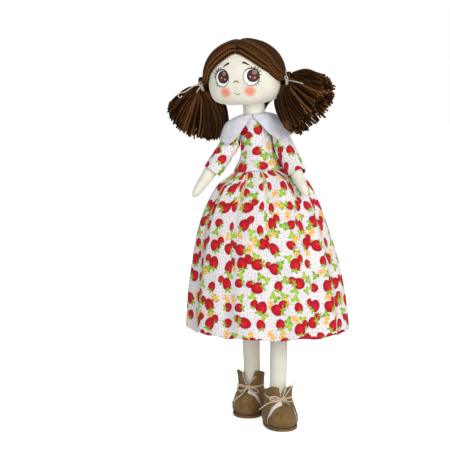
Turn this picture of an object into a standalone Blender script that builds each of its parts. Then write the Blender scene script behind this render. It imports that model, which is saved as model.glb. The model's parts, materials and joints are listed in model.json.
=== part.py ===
"""Rag doll: a stuffed cloth doll, 45 cm tall, in a printed dress, felt collar and felt booties.

Metres, +Z up. The doll faces -Y and its own left side is +X. It stands on both soles with one
foot forward, leans a little to its right, and its origin is the middle of its bottom.
"""

import math

import bmesh
import bpy
import numpy as np
from mathutils import Matrix, Vector

SIDES = {"left": 1, "right": -1}

# Fits
CLEARANCE = 0.0003
OVERRUN = 0.012
MERGE = 0.00001

# Squareness of the sections
HEAD_SQUARE = 2.2
SHOE_SQUARE = 2.3
SOFT_SQUARE = 2.4

# Pose at rest, in degrees
TORSO_LEAN = -5.4
HEAD_YAW = -6.0
HEAD_ROLL = 1.7
ARM_SPLAY = {"left": 21.5, "right": 38.0}
ARM_SWING = {"left": 26.0, "right": 13.0}
LEG_SWING = {"left": 6.5, "right": -6.5}
SHOE_TURN_OUT = {"left": 20.0, "right": 4.0}
PIGTAIL_OUT = {"left": 43.0, "right": 10.0}
PIGTAIL_FORWARD = {"left": 30.0, "right": -30.0}

# Torso
TRUNK_HEIGHT = 0.1405
HIP_WIDTH = 0.066
TRUNK_DEPTH = 0.041
NECK_DIAMETER = 0.0252
NECK_LENGTH = 0.0235
NECK_SEATED = 0.0095
TORSO_SHARES = [
    (0.016, 0.66, 0.055),
    (0.050, 0.79, 0.25),
    (0.100, 0.90, 0.54),
    (0.170, 0.97, 0.78),
    (0.270, 1.00, 0.97),
    (0.370, 0.97, 1.00),
    (0.470, 0.92, 0.95),
    (0.548, 0.88, 0.915),
    (0.600, 0.77, 0.87),
    (0.655, 0.63, 0.83),
    (0.712, 0.56, 0.80),
    (0.800, 0.545, 0.78),
    (0.890, 0.545, 0.71),
    (0.932, 0.525, 0.66),
    (0.968, 0.465, 0.635),
]

# Neck dowel
DOWEL_DIAMETER = 0.008
DOWEL_IN_TORSO = 0.033
DOWEL_IN_HEAD = 0.030

# Shoulders and arms
SHOULDER_SHARE = 0.854
SHOULDER_FACE = 0.0173
ARM_LENGTH = 0.0875
ARM_WIDTH = 0.0150
ARM_DEPTH = 0.0158
ARM_SHARES = [
    (0.085, 0.05, 0.05),
    (0.078, 0.50, 0.50),
    (0.055, 0.80, 0.80),
    (0.020, 0.97, 0.97),
    (-0.050, 1.00, 1.00),
    (-0.250, 0.98, 0.98),
    (-0.450, 1.00, 1.02),
    (-0.600, 1.02, 1.04),
    (-0.720, 0.90, 0.98),
    (-0.830, 0.78, 0.98),
    (-0.920, 0.62, 0.84),
    (-0.980, 0.34, 0.48),
    (-1.000, 0.05, 0.05),
]
THREAD_DIAMETER = 0.0012
KNOT_DIAMETER = 0.0018
ARM_BUTTON_DIAMETER = 0.0070
ARM_BUTTON_THICKNESS = 0.0012
ARM_BUTTON_SEAT = 0.0056

# Hips and legs
LEG_SPACING = 0.0370
LEG_LENGTH = 0.2094
LEG_DIAMETER = 0.0200
HIP_SEAM_DIAMETER = 0.0040
LEG_TOP_DEPTH = 0.0013
ANKLE_HEIGHT = 0.0120
LEG_SHARES = [
    (0.030, 0.95, 0.22),
    (0.060, 0.97, 0.40),
    (0.100, 1.00, 0.64),
    (0.145, 1.02, 0.88),
    (0.200, 1.04, 1.02),
    (0.400, 1.03, 1.03),
    (0.500, 0.97, 0.97),
    (0.600, 1.03, 1.03),
    (0.800, 1.00, 1.00),
    (0.930, 0.98, 0.98),
    (1.000, 0.96, 0.96),
]

# Shoes and feet
SHOE_WIDTH = 0.041
SHOE_OUTWARD = 0.0013
TOE_LENGTH = 0.037
HEEL_LENGTH = 0.022
SOLE_THICKNESS = 0.003
FELT = 0.0016
SHOE_HEIGHT = 0.050
KNOT_HEIGHT_SHARE = 0.61
BACK_RIM_SHARE = 0.76
SHOE_SHARES = [
    (0.000, 0.88, 0.955, 0.95),
    (0.090, 0.98, 1.00, 1.00),
    (0.210, 0.98, 0.98, 1.00),
    (0.330, 0.91, 0.89, 0.98),
    (0.440, 0.85, 0.76, 0.94),
    (0.540, 0.775, 0.60, 0.87),
    (0.660, 0.745, 0.50, 0.80),
    (0.830, 0.76, 0.49, 0.78),
    (1.060, 0.815, 0.50, 0.79),
]
SOLE_SHARES = [
    (0.00, -1.00), (0.38, -0.95), (0.68, -0.80), (0.90, -0.52), (0.95, -0.18), (0.86, 0.25),
    (0.76, 0.70), (0.66, 1.00), (0.52, 1.00), (0.30, 1.00),
]
FOOT_SHARES = [
    # up, half width, toe, heel
    (0.000, 0.60, 0.62, 0.60),
    (0.015, 0.70, 0.72, 0.68),
    (0.100, 0.77, 0.77, 0.73),
    (0.230, 0.75, 0.73, 0.73),
    (0.360, 0.65, 0.59, 0.63),
    (0.490, 0.46, 0.30, 0.46),
    (0.580, 0.30, 0.14, 0.30),
    (0.600, 0.05, 0.02, 0.05),
]

# Twine of the laces and hair ties
TWINE_DIAMETER = 0.0013
BOW_LOOP_LENGTH = 0.0135
BOW_LOOP_HEIGHT = 0.0052
BOW_KNOT_DIAMETER = 0.0034
BOW_TAIL_LENGTH = 0.0150
HAIR_BOW_SHARE = 0.58

# Head
HEAD_WIDTH = 0.083
HEAD_DEPTH = 0.064
HEAD_HEIGHT = 0.0715
HEAD_FORWARD = 0.010
HEAD_SIDE = -0.0065
HEAD_SHARES = [
    (0.000, 0.05, 0.05),
    (0.008, 0.40, 0.34),
    (0.030, 0.64, 0.54),
    (0.083, 0.85, 0.74),
    (0.170, 0.95, 0.88),
    (0.320, 1.00, 0.98),
    (0.480, 0.985, 1.00),
    (0.630, 0.92, 0.95),
    (0.770, 0.79, 0.83),
    (0.880, 0.60, 0.64),
    (0.960, 0.36, 0.38),
    (1.000, 0.05, 0.05),
]

# Hair
HAIR_ON_SIDES = 0.0070
HAIR_ON_BACK = 0.0065
HAIR_ON_CROWN = 0.0060
HAIR_WIDTH = HEAD_WIDTH + 2 * HAIR_ON_SIDES
HAIR_DEPTH = HEAD_DEPTH + 2 * HAIR_ON_BACK
HAIR_HEIGHT = HEAD_HEIGHT + HAIR_ON_CROWN
HAIR_DROP = 0.0015
HAIR_BACK = 0.0015
PARTING_WIDTH = 0.0010
PARTING_SUNK = 0.0015
HAIR_SHARES = [
    (0.000, 0.05, 0.05),
    (0.010, 0.42, 0.40),
    (0.045, 0.70, 0.64),
    (0.120, 0.87, 0.82),
    (0.240, 0.97, 0.94),
    (0.400, 1.00, 1.00),
    (0.560, 0.965, 0.99),
    (0.720, 0.86, 0.91),
    (0.860, 0.66, 0.73),
    (0.945, 0.42, 0.48),
    (0.985, 0.20, 0.24),
    (1.000, 0.04, 0.05),
]
HAIRLINE_SHARES = [
    (0.00, 0.79), (0.13, 0.765), (0.26, 0.72), (0.53, 0.625), (0.77, 0.51), (0.90, 0.42), (0.98, 0.345),
    (1.10, 0.325), (1.35, 0.300),
]
HAIR_EDGE_SHARES = [
    (-2.0, 0.285), (-0.02, 0.285), (0.20, 0.210), (0.60, 0.105), (0.90, 0.045), (1.60, 0.030),
]

# Hair ties and pigtails
TIE_HEIGHT_SHARE = 0.345
TIE_BACK = 0.002
STUB_DIAMETER = 0.0100
STUB_LENGTH = 0.0050
PIGTAIL_ROOT_DIAMETER = 0.0100
PIGTAIL_LENGTH = 0.0620
PIGTAIL_THICKNESS = 0.0300
PIGTAIL_SHARES = [
    # down in lengths, inner and outer edge in lengths, depth in thicknesses
    (0.080, 0.080, 0.150, 0.45),
    (0.160, 0.115, 0.280, 0.62),
    (0.250, 0.180, 0.435, 0.80),
    (0.440, 0.330, 0.565, 1.00),
    (0.620, 0.480, 0.525, 1.00),
    (0.760, 0.560, 0.380, 0.95),
    (0.860, 0.530, 0.190, 0.86),
    (0.910, 0.430, 0.030, 0.70),
]

# Dress
COTTON = 0.0012
SKIRT_TOP_SHARE = 0.548
SKIRT_LENGTH = 0.186
HEM_WIDTH = 0.190
HEM_DEPTH = 0.152
SKIRT_FOLDS = 11
SKIRT_FOLD_POINTS = 6
SKIRT_SHARES = [
    # down, half width, half depth, centre towards the lean, tilt with the torso, fold depth
    (0.025, 0.390, 0.300, 0.85, 1.00, 0.012),
    (0.065, 0.520, 0.350, 0.58, 0.80, 0.020),
    (0.130, 0.610, 0.430, 0.50, 0.50, 0.022),
    (0.270, 0.735, 0.610, 0.50, 0.20, 0.022),
    (0.530, 0.880, 0.840, 0.10, 0.00, 0.022),
    (0.810, 0.970, 0.960, -0.20, 0.00, 0.024),
    (1.000, 1.000, 1.000, -0.35, 0.00, 0.026),
]
SLEEVE_DIAMETER = 0.0222
LEFT_SLEEVE_LENGTH = 0.0585
RIGHT_SLEEVE_LENGTH = 0.0500
SLEEVE_SEAM = 0.0205
SLEEVE_OUTWARD = {"left": 0.0004, "right": -0.0013}
SLEEVE_SHARES = [
    # down in lengths, width share
    (-0.15, 1.000), (-0.40, 1.020), (-0.75, 1.020), (-1.00, 0.980),
]
ARMHOLE_DIAMETER = 0.0190
DRESS_BUTTON_DIAMETER = 0.0070
DRESS_BUTTON_THICKNESS = 0.0018
DRESS_BUTTON_SHARE = 0.80

# Collar
COLLAR_FELT = 0.0014
COLLAR_WIDTH = 0.0780
COLLAR_DEPTH = 0.0430
COLLAR_DROP = 0.0320
COLLAR_TOP = 0.1435
COLLAR_SHARES = [
    # down, half width, half depth
    (0.000, 0.372, 0.655),
    (0.030, 0.480, 0.720),
    (0.075, 0.600, 0.780),
    (0.130, 0.690, 0.820),
    (0.210, 0.825, 0.860),
    (0.340, 0.930, 0.915),
    (0.500, 1.000, 0.970),
    (0.700, 1.070, 1.020),
    (0.860, 1.140, 1.060),
    (1.020, 1.210, 1.100),
]
COLLAR_LOBE_SHARES = [
    (0.008, -0.10), (1.20, -0.10), (1.20, 0.80), (0.98, 0.92), (0.86, 0.99), (0.74, 0.985), (0.60, 0.88),
    (0.43, 0.68), (0.22, 0.36), (0.008, 0.06),
]

# Colours, linear
CREAM = (0.75, 0.72, 0.58, 1)
BROWN_YARN = (0.065, 0.028, 0.012, 1)
COTTON_PRINT = (0.85, 0.60, 0.60, 1)
WHITE_FELT = (0.82, 0.82, 0.86, 1)
KHAKI_FELT = (0.16, 0.10, 0.045, 1)
TWINE = (0.55, 0.45, 0.34, 1)
WOOD = (0.55, 0.38, 0.20, 1)
BUTTON_WHITE = (0.80, 0.78, 0.74, 1)


def clear_scene():
    """Leave an empty scene with one collection for the doll and one for its cutters."""
    for old in list(bpy.data.objects):
        bpy.data.objects.remove(old, do_unlink=True)
    collections = {}
    for name in ("rag_doll", "cutters"):
        collections[name] = bpy.data.collections.new(name)
        bpy.context.scene.collection.children.link(collections[name])
    return collections


COLLECTIONS = clear_scene()


def material(name, colour, roughness):
    """A plain Principled material."""
    made = bpy.data.materials.new(name)
    made.use_nodes = True
    shader = made.node_tree.nodes["Principled BSDF"]
    shader.inputs["Base Color"].default_value = colour
    shader.inputs["Roughness"].default_value = roughness
    shader.inputs["Metallic"].default_value = 0
    made.diffuse_color = colour
    return made


def rig(name, parent, place=(0, 0, 0), turn=None):
    """An empty that carries pieces, given in its parent's frame."""
    empty = bpy.data.objects.new(name, None)
    empty.empty_display_size = OVERRUN
    COLLECTIONS["rag_doll"].objects.link(empty)
    empty.parent = parent
    empty.matrix_local = Matrix.Translation(place) @ (turn or Matrix.Identity(4))
    return empty


def turn_about(axis, degrees):
    """Rotation matrix about X, Y or Z."""
    return Matrix.Rotation(math.radians(degrees), 4, axis)


def add_object(name, mesh, parent, finish=None, placed=None):
    """Link a mesh as a doll piece, or as a hidden cutter where it has no material."""
    made = bpy.data.objects.new(name, mesh)
    made.parent = parent
    if placed is not None:
        made.matrix_local = placed
    if finish is None:
        made.hide_render = True
        made.display_type = "WIRE"
        COLLECTIONS["cutters"].objects.link(made)
    else:
        mesh.materials.clear()
        mesh.materials.append(finish)
        COLLECTIONS["rag_doll"].objects.link(made)
    return made


def mesh_from(name, bm, smooth=True):
    """Turn a bmesh into a mesh with outward normals."""
    bmesh.ops.recalc_face_normals(bm, faces=bm.faces)
    mesh = bpy.data.meshes.new(name)
    bm.to_mesh(mesh)
    bm.free()
    if smooth:
        mesh.shade_smooth()
    return mesh


def section(height, half_width, half_depth, shift_x, shift_y, count, square):
    """Points of one superelliptic section, anticlockwise from +X."""
    points = []
    for step in range(count):
        angle = math.tau * step / count
        across = math.copysign(abs(math.cos(angle)) ** (2 / square), math.cos(angle))
        along = math.copysign(abs(math.sin(angle)) ** (2 / square), math.sin(angle))
        points.append(Vector((shift_x + half_width * across, shift_y + half_depth * along, height)))
    return points


def bridge(name, rings, closed=True):
    """Loft between rings of equal count, with flat ends where it is closed."""
    bm = bmesh.new()
    loops = [[bm.verts.new(point) for point in ring] for ring in rings]
    count = len(loops[0])
    for low, high in zip(loops, loops[1:]):
        for step in range(count):
            after = (step + 1) % count
            bm.faces.new((low[step], low[after], high[after], high[step]))
    if closed:
        bm.faces.new(loops[0][::-1])
        bm.faces.new(loops[-1])
    return mesh_from(name, bm)


def loft(name, rows, count, square=2.0, closed=True):
    """Loft through rows of height, half width, half depth and two optional shifts."""
    rings = []
    for row in rows:
        height, half_width, half_depth = row[:3]
        shift_x, shift_y = row[3:5] if len(row) > 3 else (0, 0)
        rings.append(section(height, half_width, half_depth, shift_x, shift_y, count, square))
    return bridge(name, rings, closed)


def turned(name, profile, steps, ring=False):
    """Turn a profile of radius and height, from its top down, about Z."""
    mesh = bpy.data.meshes.new(name)
    points = [(radius, 0, height) for radius, height in profile]
    edges = [(step, step + 1) for step in range(len(points) - 1)]
    if ring:
        edges.append((len(points) - 1, 0))
    mesh.from_pydata(points, edges, [])
    holder = bpy.data.objects.new(name + "_profile", mesh)
    COLLECTIONS["cutters"].objects.link(holder)
    screw = holder.modifiers.new("turn", "SCREW")
    screw.axis = "Z"
    screw.steps = steps
    screw.render_steps = steps
    screw.use_merge_vertices = True
    screw.merge_threshold = MERGE
    return frozen(holder)


def frozen(holder):
    """Evaluated mesh of a helper object, which is removed."""
    bpy.context.view_layer.update()
    graph = bpy.context.evaluated_depsgraph_get()
    mesh = bpy.data.meshes.new_from_object(holder.evaluated_get(graph))
    bpy.data.objects.remove(holder, do_unlink=True)
    bm = bmesh.new()
    bm.from_mesh(mesh)
    bmesh.ops.remove_doubles(bm, verts=bm.verts, dist=MERGE)
    bmesh.ops.recalc_face_normals(bm, faces=bm.faces)
    bm.to_mesh(mesh)
    bm.free()
    return mesh


def curve_mesh(name, points, radius=0, extrude=0, closed=False):
    """Mesh of a tube along points, or of a flat filled outline with an extrude."""
    flat = radius == 0
    curve = bpy.data.curves.new(name, "CURVE")
    curve.dimensions = "2D" if flat else "3D"
    curve.fill_mode = "BOTH" if flat else "FULL"
    curve.extrude = extrude
    curve.bevel_depth = radius
    curve.bevel_resolution = 1
    curve.use_fill_caps = not flat
    spline = curve.splines.new("POLY")
    spline.points.add(len(points) - 1)
    for target, point in zip(spline.points, points):
        target.co = (*point, 0, 1) if flat else (*point, 1)
    spline.use_cyclic_u = flat or closed
    holder = bpy.data.objects.new(name + "_curve", curve)
    COLLECTIONS["cutters"].objects.link(holder)
    return frozen(holder)


def prism(name, outline, half_length, parent, placed):
    """Hidden cutter: an outline in XY, extruded both ways along Z, then placed."""
    return add_object(name, curve_mesh(name, outline, extrude=half_length), parent, placed=placed)


def rod(name, radius, half_length, parent, placed):
    """Hidden cylindrical cutter along Z, then placed."""
    bm = bmesh.new()
    bmesh.ops.create_cone(
        bm, cap_ends=True, segments=16, radius1=radius, radius2=radius, depth=2 * half_length)
    return add_object(name, mesh_from(name, bm), parent, placed=placed)


def block(name, low, high, parent):
    """Hidden box cutter between two corners."""
    bm = bmesh.new()
    bmesh.ops.create_cube(bm, size=1)
    size = [top - bottom for bottom, top in zip(low, high)]
    middle = [(top + bottom) / 2 for bottom, top in zip(low, high)]
    bmesh.ops.scale(bm, vec=size, verts=bm.verts)
    bmesh.ops.translate(bm, vec=middle, verts=bm.verts)
    return add_object(name, mesh_from(name, bm, smooth=False), parent)


def combine(piece, other, operation):
    """Boolean of a piece with a hidden object."""
    modifier = piece.modifiers.new(operation.lower(), "BOOLEAN")
    modifier.operation = operation
    modifier.solver = "EXACT"
    modifier.object = other


def thicken(piece, thickness):
    """Give an open surface its wall, inwards."""
    modifier = piece.modifiers.new("wall", "SOLIDIFY")
    modifier.thickness = thickness
    modifier.offset = -1


def grown(rows, by, upwards=0):
    """Rows of a loft with every half width and half depth enlarged, and the ends moved apart."""
    low, high = rows[0][0], rows[-1][0]
    return [
        (row[0] + upwards * (2 * (row[0] - low) / (high - low) - 1), row[1] + by, row[2] + by, *row[3:])
        for row in rows
    ]


def row_at(rows, height):
    """Half width and half depth of a loft at one height."""
    heights = [row[0] for row in rows]
    return [float(np.interp(height, heights, [row[column] for row in rows])) for column in (1, 2)]


def torso_rows():
    """Sections of the trunk, from the hip seam up to the base of the neck."""
    return [
        (height * TRUNK_HEIGHT, width * HIP_WIDTH / 2, depth * TRUNK_DEPTH / 2)
        for height, width, depth in TORSO_SHARES
    ]


def build_torso(frame, hips, cream, wood, white):
    """Stuffed trunk and neck, its dowel, and the thread that joints the arms."""
    neck_top = TRUNK_HEIGHT + NECK_LENGTH
    neck = NECK_DIAMETER / 2
    rows = torso_rows() + [(TRUNK_HEIGHT, neck, neck), (neck_top, neck, neck)]
    torso = add_object("torso", loft("torso", rows, 24), frame, cream)
    shoulder = Matrix.Translation((0, 0, SHOULDER_SHARE * TRUNK_HEIGHT)) @ turn_about("Y", 90)
    for side, sign in SIDES.items():
        near = sign * SHOULDER_FACE
        far = sign * (SHOULDER_FACE + OVERRUN)
        low = (min(near, far), -OVERRUN, TRUNK_HEIGHT * SHOULDER_SHARE - NECK_DIAMETER / 2)
        high = (max(near, far), OVERRUN, TRUNK_HEIGHT * SHOULDER_SHARE + NECK_DIAMETER / 2)
        combine(torso, block("shoulder_flat_" + side, low, high, frame), "DIFFERENCE")
    thread_bore = rod("thread_bore", THREAD_DIAMETER / 2 + CLEARANCE, HIP_WIDTH, frame, shoulder)
    combine(torso, thread_bore, "DIFFERENCE")
    bore_depth = DOWEL_IN_TORSO + CLEARANCE
    bore_place = Matrix.Translation((0, 0, neck_top))
    bore = rod("dowel_bore", DOWEL_DIAMETER / 2 + CLEARANCE, bore_depth, frame, bore_place)
    combine(torso, bore, "DIFFERENCE")
    seam_groove = rod("seam_groove", HIP_SEAM_DIAMETER / 2 + CLEARANCE, HIP_WIDTH, hips, turn_about("Y", 90))
    combine(torso, seam_groove, "DIFFERENCE")
    radius = DOWEL_DIAMETER / 2
    profile = [
        (0, neck_top + DOWEL_IN_HEAD), (radius * 3 / 4, neck_top + DOWEL_IN_HEAD),
        (radius, neck_top + DOWEL_IN_HEAD - radius / 4), (radius, neck_top - DOWEL_IN_TORSO + radius / 4),
        (radius * 3 / 4, neck_top - DOWEL_IN_TORSO), (0, neck_top - DOWEL_IN_TORSO),
    ]
    add_object("neck_dowel", turned("neck_dowel", profile, 16), frame, wood)
    build_shoulder_thread(frame, shoulder, white)


def shoulder_inset():
    """Distance from an arm's flat inner face to its joint's middle."""
    return ARM_WIDTH / 2 - CLEARANCE


def shoulder_reach():
    """Distance of a shoulder joint from the middle of the doll."""
    return SHOULDER_FACE + CLEARANCE + shoulder_inset()


def build_shoulder_thread(frame, placed, white):
    """Thread along the shoulder axis, with a knot over each button."""
    thread = THREAD_DIAMETER / 2
    knot = KNOT_DIAMETER / 2
    seat = shoulder_reach() + ARM_BUTTON_SEAT + ARM_BUTTON_THICKNESS + 2 * CLEARANCE
    upper = [(0, seat + KNOT_DIAMETER), (knot * 0.8, seat + knot * 1.6), (knot, seat + knot)]
    upper += [(knot * 0.8, seat + knot * 0.2), (thread, seat)]
    profile = upper + [(radius, -height) for radius, height in reversed(upper)]
    add_object("shoulder_thread", turned("shoulder_thread", profile, 8), frame, white, placed)


def button_mesh(name, diameter, thickness, hole):
    """Turned button with a raised rim and a middle hole, its back at zero."""
    outer = diameter / 2
    profile = [
        (hole, thickness * 0.7), (outer * 0.62, thickness * 0.7), (outer * 0.76, thickness),
        (outer * 0.92, thickness), (outer, thickness * 0.75), (outer, thickness * 0.3),
        (outer * 0.9, 0), (hole, 0),
    ]
    return turned(name, profile, 12, ring=True)


def build_arm(side, sign, torso_frame, cream, cotton, white):
    """Stuffed arm with a mitten hand, its sleeve, and the button that holds it."""
    height = SHOULDER_SHARE * TRUNK_HEIGHT
    swing = turn_about("X", -ARM_SWING[side])
    shoulder = rig("shoulder_" + side, torso_frame, (sign * shoulder_reach(), 0, height), swing)
    frame = rig("arm_frame_" + side, shoulder, turn=turn_about("Y", -sign * ARM_SPLAY[side]))
    rows = [
        (along * ARM_LENGTH, width * ARM_WIDTH / 2, depth * ARM_DEPTH / 2)
        for along, width, depth in reversed(ARM_SHARES)
    ]
    arm = add_object("arm_" + side, loft("arm_" + side, rows, 14), frame, cream)
    flat = sign * -shoulder_inset()
    far = sign * -(shoulder_inset() + OVERRUN)
    low = (min(flat, far), -OVERRUN, -ARM_WIDTH / 2)
    high = (max(flat, far), OVERRUN, OVERRUN)
    combine(arm, block("arm_flat_" + side, low, high, shoulder), "DIFFERENCE")
    along_x = turn_about("Y", 90 * sign)
    bore = rod("arm_bore_" + side, THREAD_DIAMETER / 2 + CLEARANCE, ARM_WIDTH, shoulder, along_x)
    combine(arm, bore, "DIFFERENCE")
    outer = sign * ARM_BUTTON_SEAT
    low = (min(outer, outer + sign * OVERRUN), -OVERRUN, -ARM_BUTTON_DIAMETER / 2 - CLEARANCE)
    high = (max(outer, outer + sign * OVERRUN), OVERRUN, OVERRUN)
    combine(arm, block("button_flat_" + side, low, high, shoulder), "DIFFERENCE")
    mesh = button_mesh("arm_button_" + side, ARM_BUTTON_DIAMETER, ARM_BUTTON_THICKNESS,
                       THREAD_DIAMETER / 2 + CLEARANCE)
    seat = Matrix.Translation((sign * (ARM_BUTTON_SEAT + CLEARANCE), 0, 0)) @ along_x
    add_object("arm_button_" + side, mesh, shoulder, white, seat)
    build_sleeve(side, sign, torso_frame, frame, cotton)


def build_sleeve(side, sign, torso_frame, frame, cotton):
    """Sleeve round the arm, domed over the shoulder and open at the armhole and cuff."""
    radius = SLEEVE_DIAMETER / 2
    length = LEFT_SLEEVE_LENGTH if sign > 0 else RIGHT_SLEEVE_LENGTH
    rows = []
    for angle in (78, 60, 40, 20, 4):
        flat = radius * math.cos(math.radians(angle))
        rows.append((radius * math.sin(math.radians(angle)), flat, flat, 0, 0))
    for down, share in SLEEVE_SHARES:
        shift = sign * SLEEVE_OUTWARD[side] * min(1, -down * 3)
        rows.append((down * length, radius * share, radius * share, shift, 0))
    sleeve = add_object("sleeve_" + side, sleeve_mesh("sleeve_" + side, rows), frame, cotton)
    thicken(sleeve, COTTON)
    low = (min(0, sign * SLEEVE_SEAM), -length, -length)
    high = (max(0, sign * SLEEVE_SEAM), length, TRUNK_HEIGHT + length)
    combine(sleeve, block("sleeve_seam_" + side, low, high, torso_frame), "DIFFERENCE")


def sleeve_mesh(name, rows):
    """Open tube whose upper end is closed by a dome."""
    count = 18
    rings = [section(*row, count, 2.0) for row in rows]
    bm = bmesh.new()
    loops = [[bm.verts.new(point) for point in ring] for ring in rings]
    for low, high in zip(loops, loops[1:]):
        for step in range(count):
            after = (step + 1) % count
            bm.faces.new((low[step], low[after], high[after], high[step]))
    bm.faces.new(loops[0])
    return mesh_from(name, bm)


def build_bodice(torso_frame, cotton, white):
    """Printed upper part of the dress, open at the neck, waist and armholes."""
    outer = grown(torso_rows(), CLEARANCE + COTTON)
    outer.append((TRUNK_HEIGHT, NECK_DIAMETER / 2 + CLEARANCE + COTTON, NECK_DIAMETER / 2 + CLEARANCE + COTTON))
    waist = SKIRT_TOP_SHARE * TRUNK_HEIGHT + CLEARANCE + COTTON / 2
    rows = [(waist, *row_at(outer, waist))] + [row for row in outer if row[0] > waist + COTTON]
    bodice = add_object("bodice", loft("bodice", rows, 24, closed=False), torso_frame, cotton)
    thicken(bodice, COTTON)
    shoulder = Matrix.Translation((0, 0, SHOULDER_SHARE * TRUNK_HEIGHT)) @ turn_about("Y", 90)
    hole = rod("armholes", ARMHOLE_DIAMETER / 2, HIP_WIDTH, torso_frame, shoulder)
    combine(bodice, hole, "DIFFERENCE")
    button_height = DRESS_BUTTON_SHARE * TRUNK_HEIGHT
    depth = row_at(rows, button_height)[1]
    seat = Matrix.Translation((0, depth + CLEARANCE, button_height)) @ turn_about("X", -90)
    mesh = button_mesh("dress_button", DRESS_BUTTON_DIAMETER, DRESS_BUTTON_THICKNESS, THREAD_DIAMETER / 2)
    add_object("dress_button", mesh, torso_frame, white, seat)


def build_skirt(hips, cotton):
    """Gathered skirt: it leaves the leaning waist and hangs straight down to the hem."""
    count = SKIRT_FOLDS * SKIRT_FOLD_POINTS
    waist = turn_about("Y", TORSO_LEAN)
    middle = waist @ Vector((0, 0, SKIRT_TOP_SHARE * TRUNK_HEIGHT))
    half_width, half_depth = row_at(grown(torso_rows(), CLEARANCE + COTTON), SKIRT_TOP_SHARE * TRUNK_HEIGHT)
    rings = [skirt_ring(middle, waist, half_width, half_depth, 0, count)]
    for down, width, depth, centre, tilt, fold in SKIRT_SHARES:
        turn = turn_about("Y", TORSO_LEAN * tilt)
        place = Vector((middle.x * centre, 0, middle.z - down * SKIRT_LENGTH))
        rings.append(skirt_ring(place, turn, HEM_WIDTH / 2 * width, HEM_DEPTH / 2 * depth, fold, count))
    skirt = add_object("skirt", bridge("skirt", rings[::-1], closed=False), hips, cotton)
    thicken(skirt, COTTON)


def skirt_ring(middle, turn, half_width, half_depth, fold, count):
    """One level of the skirt, with its folds."""
    ring = []
    for step in range(count):
        angle = math.tau * step / count
        wave = 1 + fold * math.cos(SKIRT_FOLDS * angle)
        across = half_width * wave * math.cos(angle)
        along = half_depth * wave * math.sin(angle)
        ring.append(middle + turn @ Vector((across, along, 0)))
    return ring


def build_collar(torso_frame, white):
    """Two felt lobes that meet at the front and back of the neck."""
    rows = [
        (COLLAR_TOP - down * COLLAR_DROP, width * COLLAR_WIDTH / 2, depth * COLLAR_DEPTH / 2)
        for down, width, depth in reversed(COLLAR_SHARES)
    ]
    for side, sign in SIDES.items():
        name = "collar_" + side
        lobe = add_object(name, loft(name, rows, 26, square=SOFT_SQUARE, closed=False), torso_frame, white)
        thicken(lobe, COLLAR_FELT)
        outline = [
            (sign * across * COLLAR_WIDTH / 2, COLLAR_TOP - down * COLLAR_DROP)
            for across, down in COLLAR_LOBE_SHARES
        ]
        cutter = prism(name + "_outline", outline, COLLAR_WIDTH, torso_frame, turn_about("X", 90))
        combine(lobe, cutter, "INTERSECT")


def head_rows():
    """Sections of the stuffed head, from under the chin to its crown."""
    return [
        (height * HEAD_HEIGHT, width * HEAD_WIDTH / 2, depth * HEAD_DEPTH / 2)
        for height, width, depth in HEAD_SHARES
    ]


def hair_rows(sunk=0):
    """Sections of the yarn's outer surface."""
    return [
        (height * HAIR_HEIGHT - HAIR_DROP - sunk * height, width * HAIR_WIDTH / 2 - sunk,
         depth * HAIR_DEPTH / 2 - sunk, 0, HAIR_BACK)
        for height, width, depth in HAIR_SHARES
    ]


def build_head(head_frame, torso_frame, cream):
    """Stuffed head with the recess that the neck is sewn into and the dowel's bore."""
    head = add_object("head", loft("head", head_rows(), 28, square=HEAD_SQUARE), head_frame, cream)
    neck_top = TRUNK_HEIGHT + NECK_LENGTH
    recess_place = Matrix.Translation((0, 0, neck_top + CLEARANCE - OVERRUN * 2))
    recess = rod("neck_recess", NECK_DIAMETER / 2 + CLEARANCE, OVERRUN * 2, torso_frame, recess_place)
    combine(head, recess, "DIFFERENCE")
    bore_place = Matrix.Translation((0, 0, neck_top))
    radius = DOWEL_DIAMETER / 2 + CLEARANCE
    combine(head, rod("head_bore", radius, DOWEL_IN_HEAD + CLEARANCE, torso_frame, bore_place), "DIFFERENCE")


def hair_cutters(head_frame):
    """What the yarn is cut by: the head, the face below the hairline, and the space under the nape."""
    grown_head = grown(head_rows(), CLEARANCE, CLEARANCE)
    head = add_object("head_clearance", loft("head_clearance", grown_head, 28, HEAD_SQUARE), head_frame)
    half = HEAD_WIDTH / 2
    line = [(-across * half, up * HEAD_HEIGHT) for across, up in reversed(HAIRLINE_SHARES[1:])]
    line += [(across * half, up * HEAD_HEIGHT) for across, up in HAIRLINE_SHARES]
    line += [(line[-1][0], -HEAD_HEIGHT), (line[0][0], -HEAD_HEIGHT)]
    place = Matrix.Translation((0, -HEAD_DEPTH, 0)) @ turn_about("X", 90)
    face = prism("face_opening", line, HEAD_DEPTH + TIE_BACK * 0.8, head_frame, place)
    edge = [(along * HEAD_DEPTH / 2, up * HEAD_HEIGHT) for along, up in HAIR_EDGE_SHARES]
    edge += [(edge[-1][0], -HEAD_HEIGHT), (edge[0][0], -HEAD_HEIGHT)]
    upright = Matrix(((0, 0, 1, 0), (1, 0, 0, 0), (0, 1, 0, 0), (0, 0, 0, 1)))
    nape = prism("nape_opening", edge, HEAD_WIDTH, head_frame, upright)
    return [head, face, nape]


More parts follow.
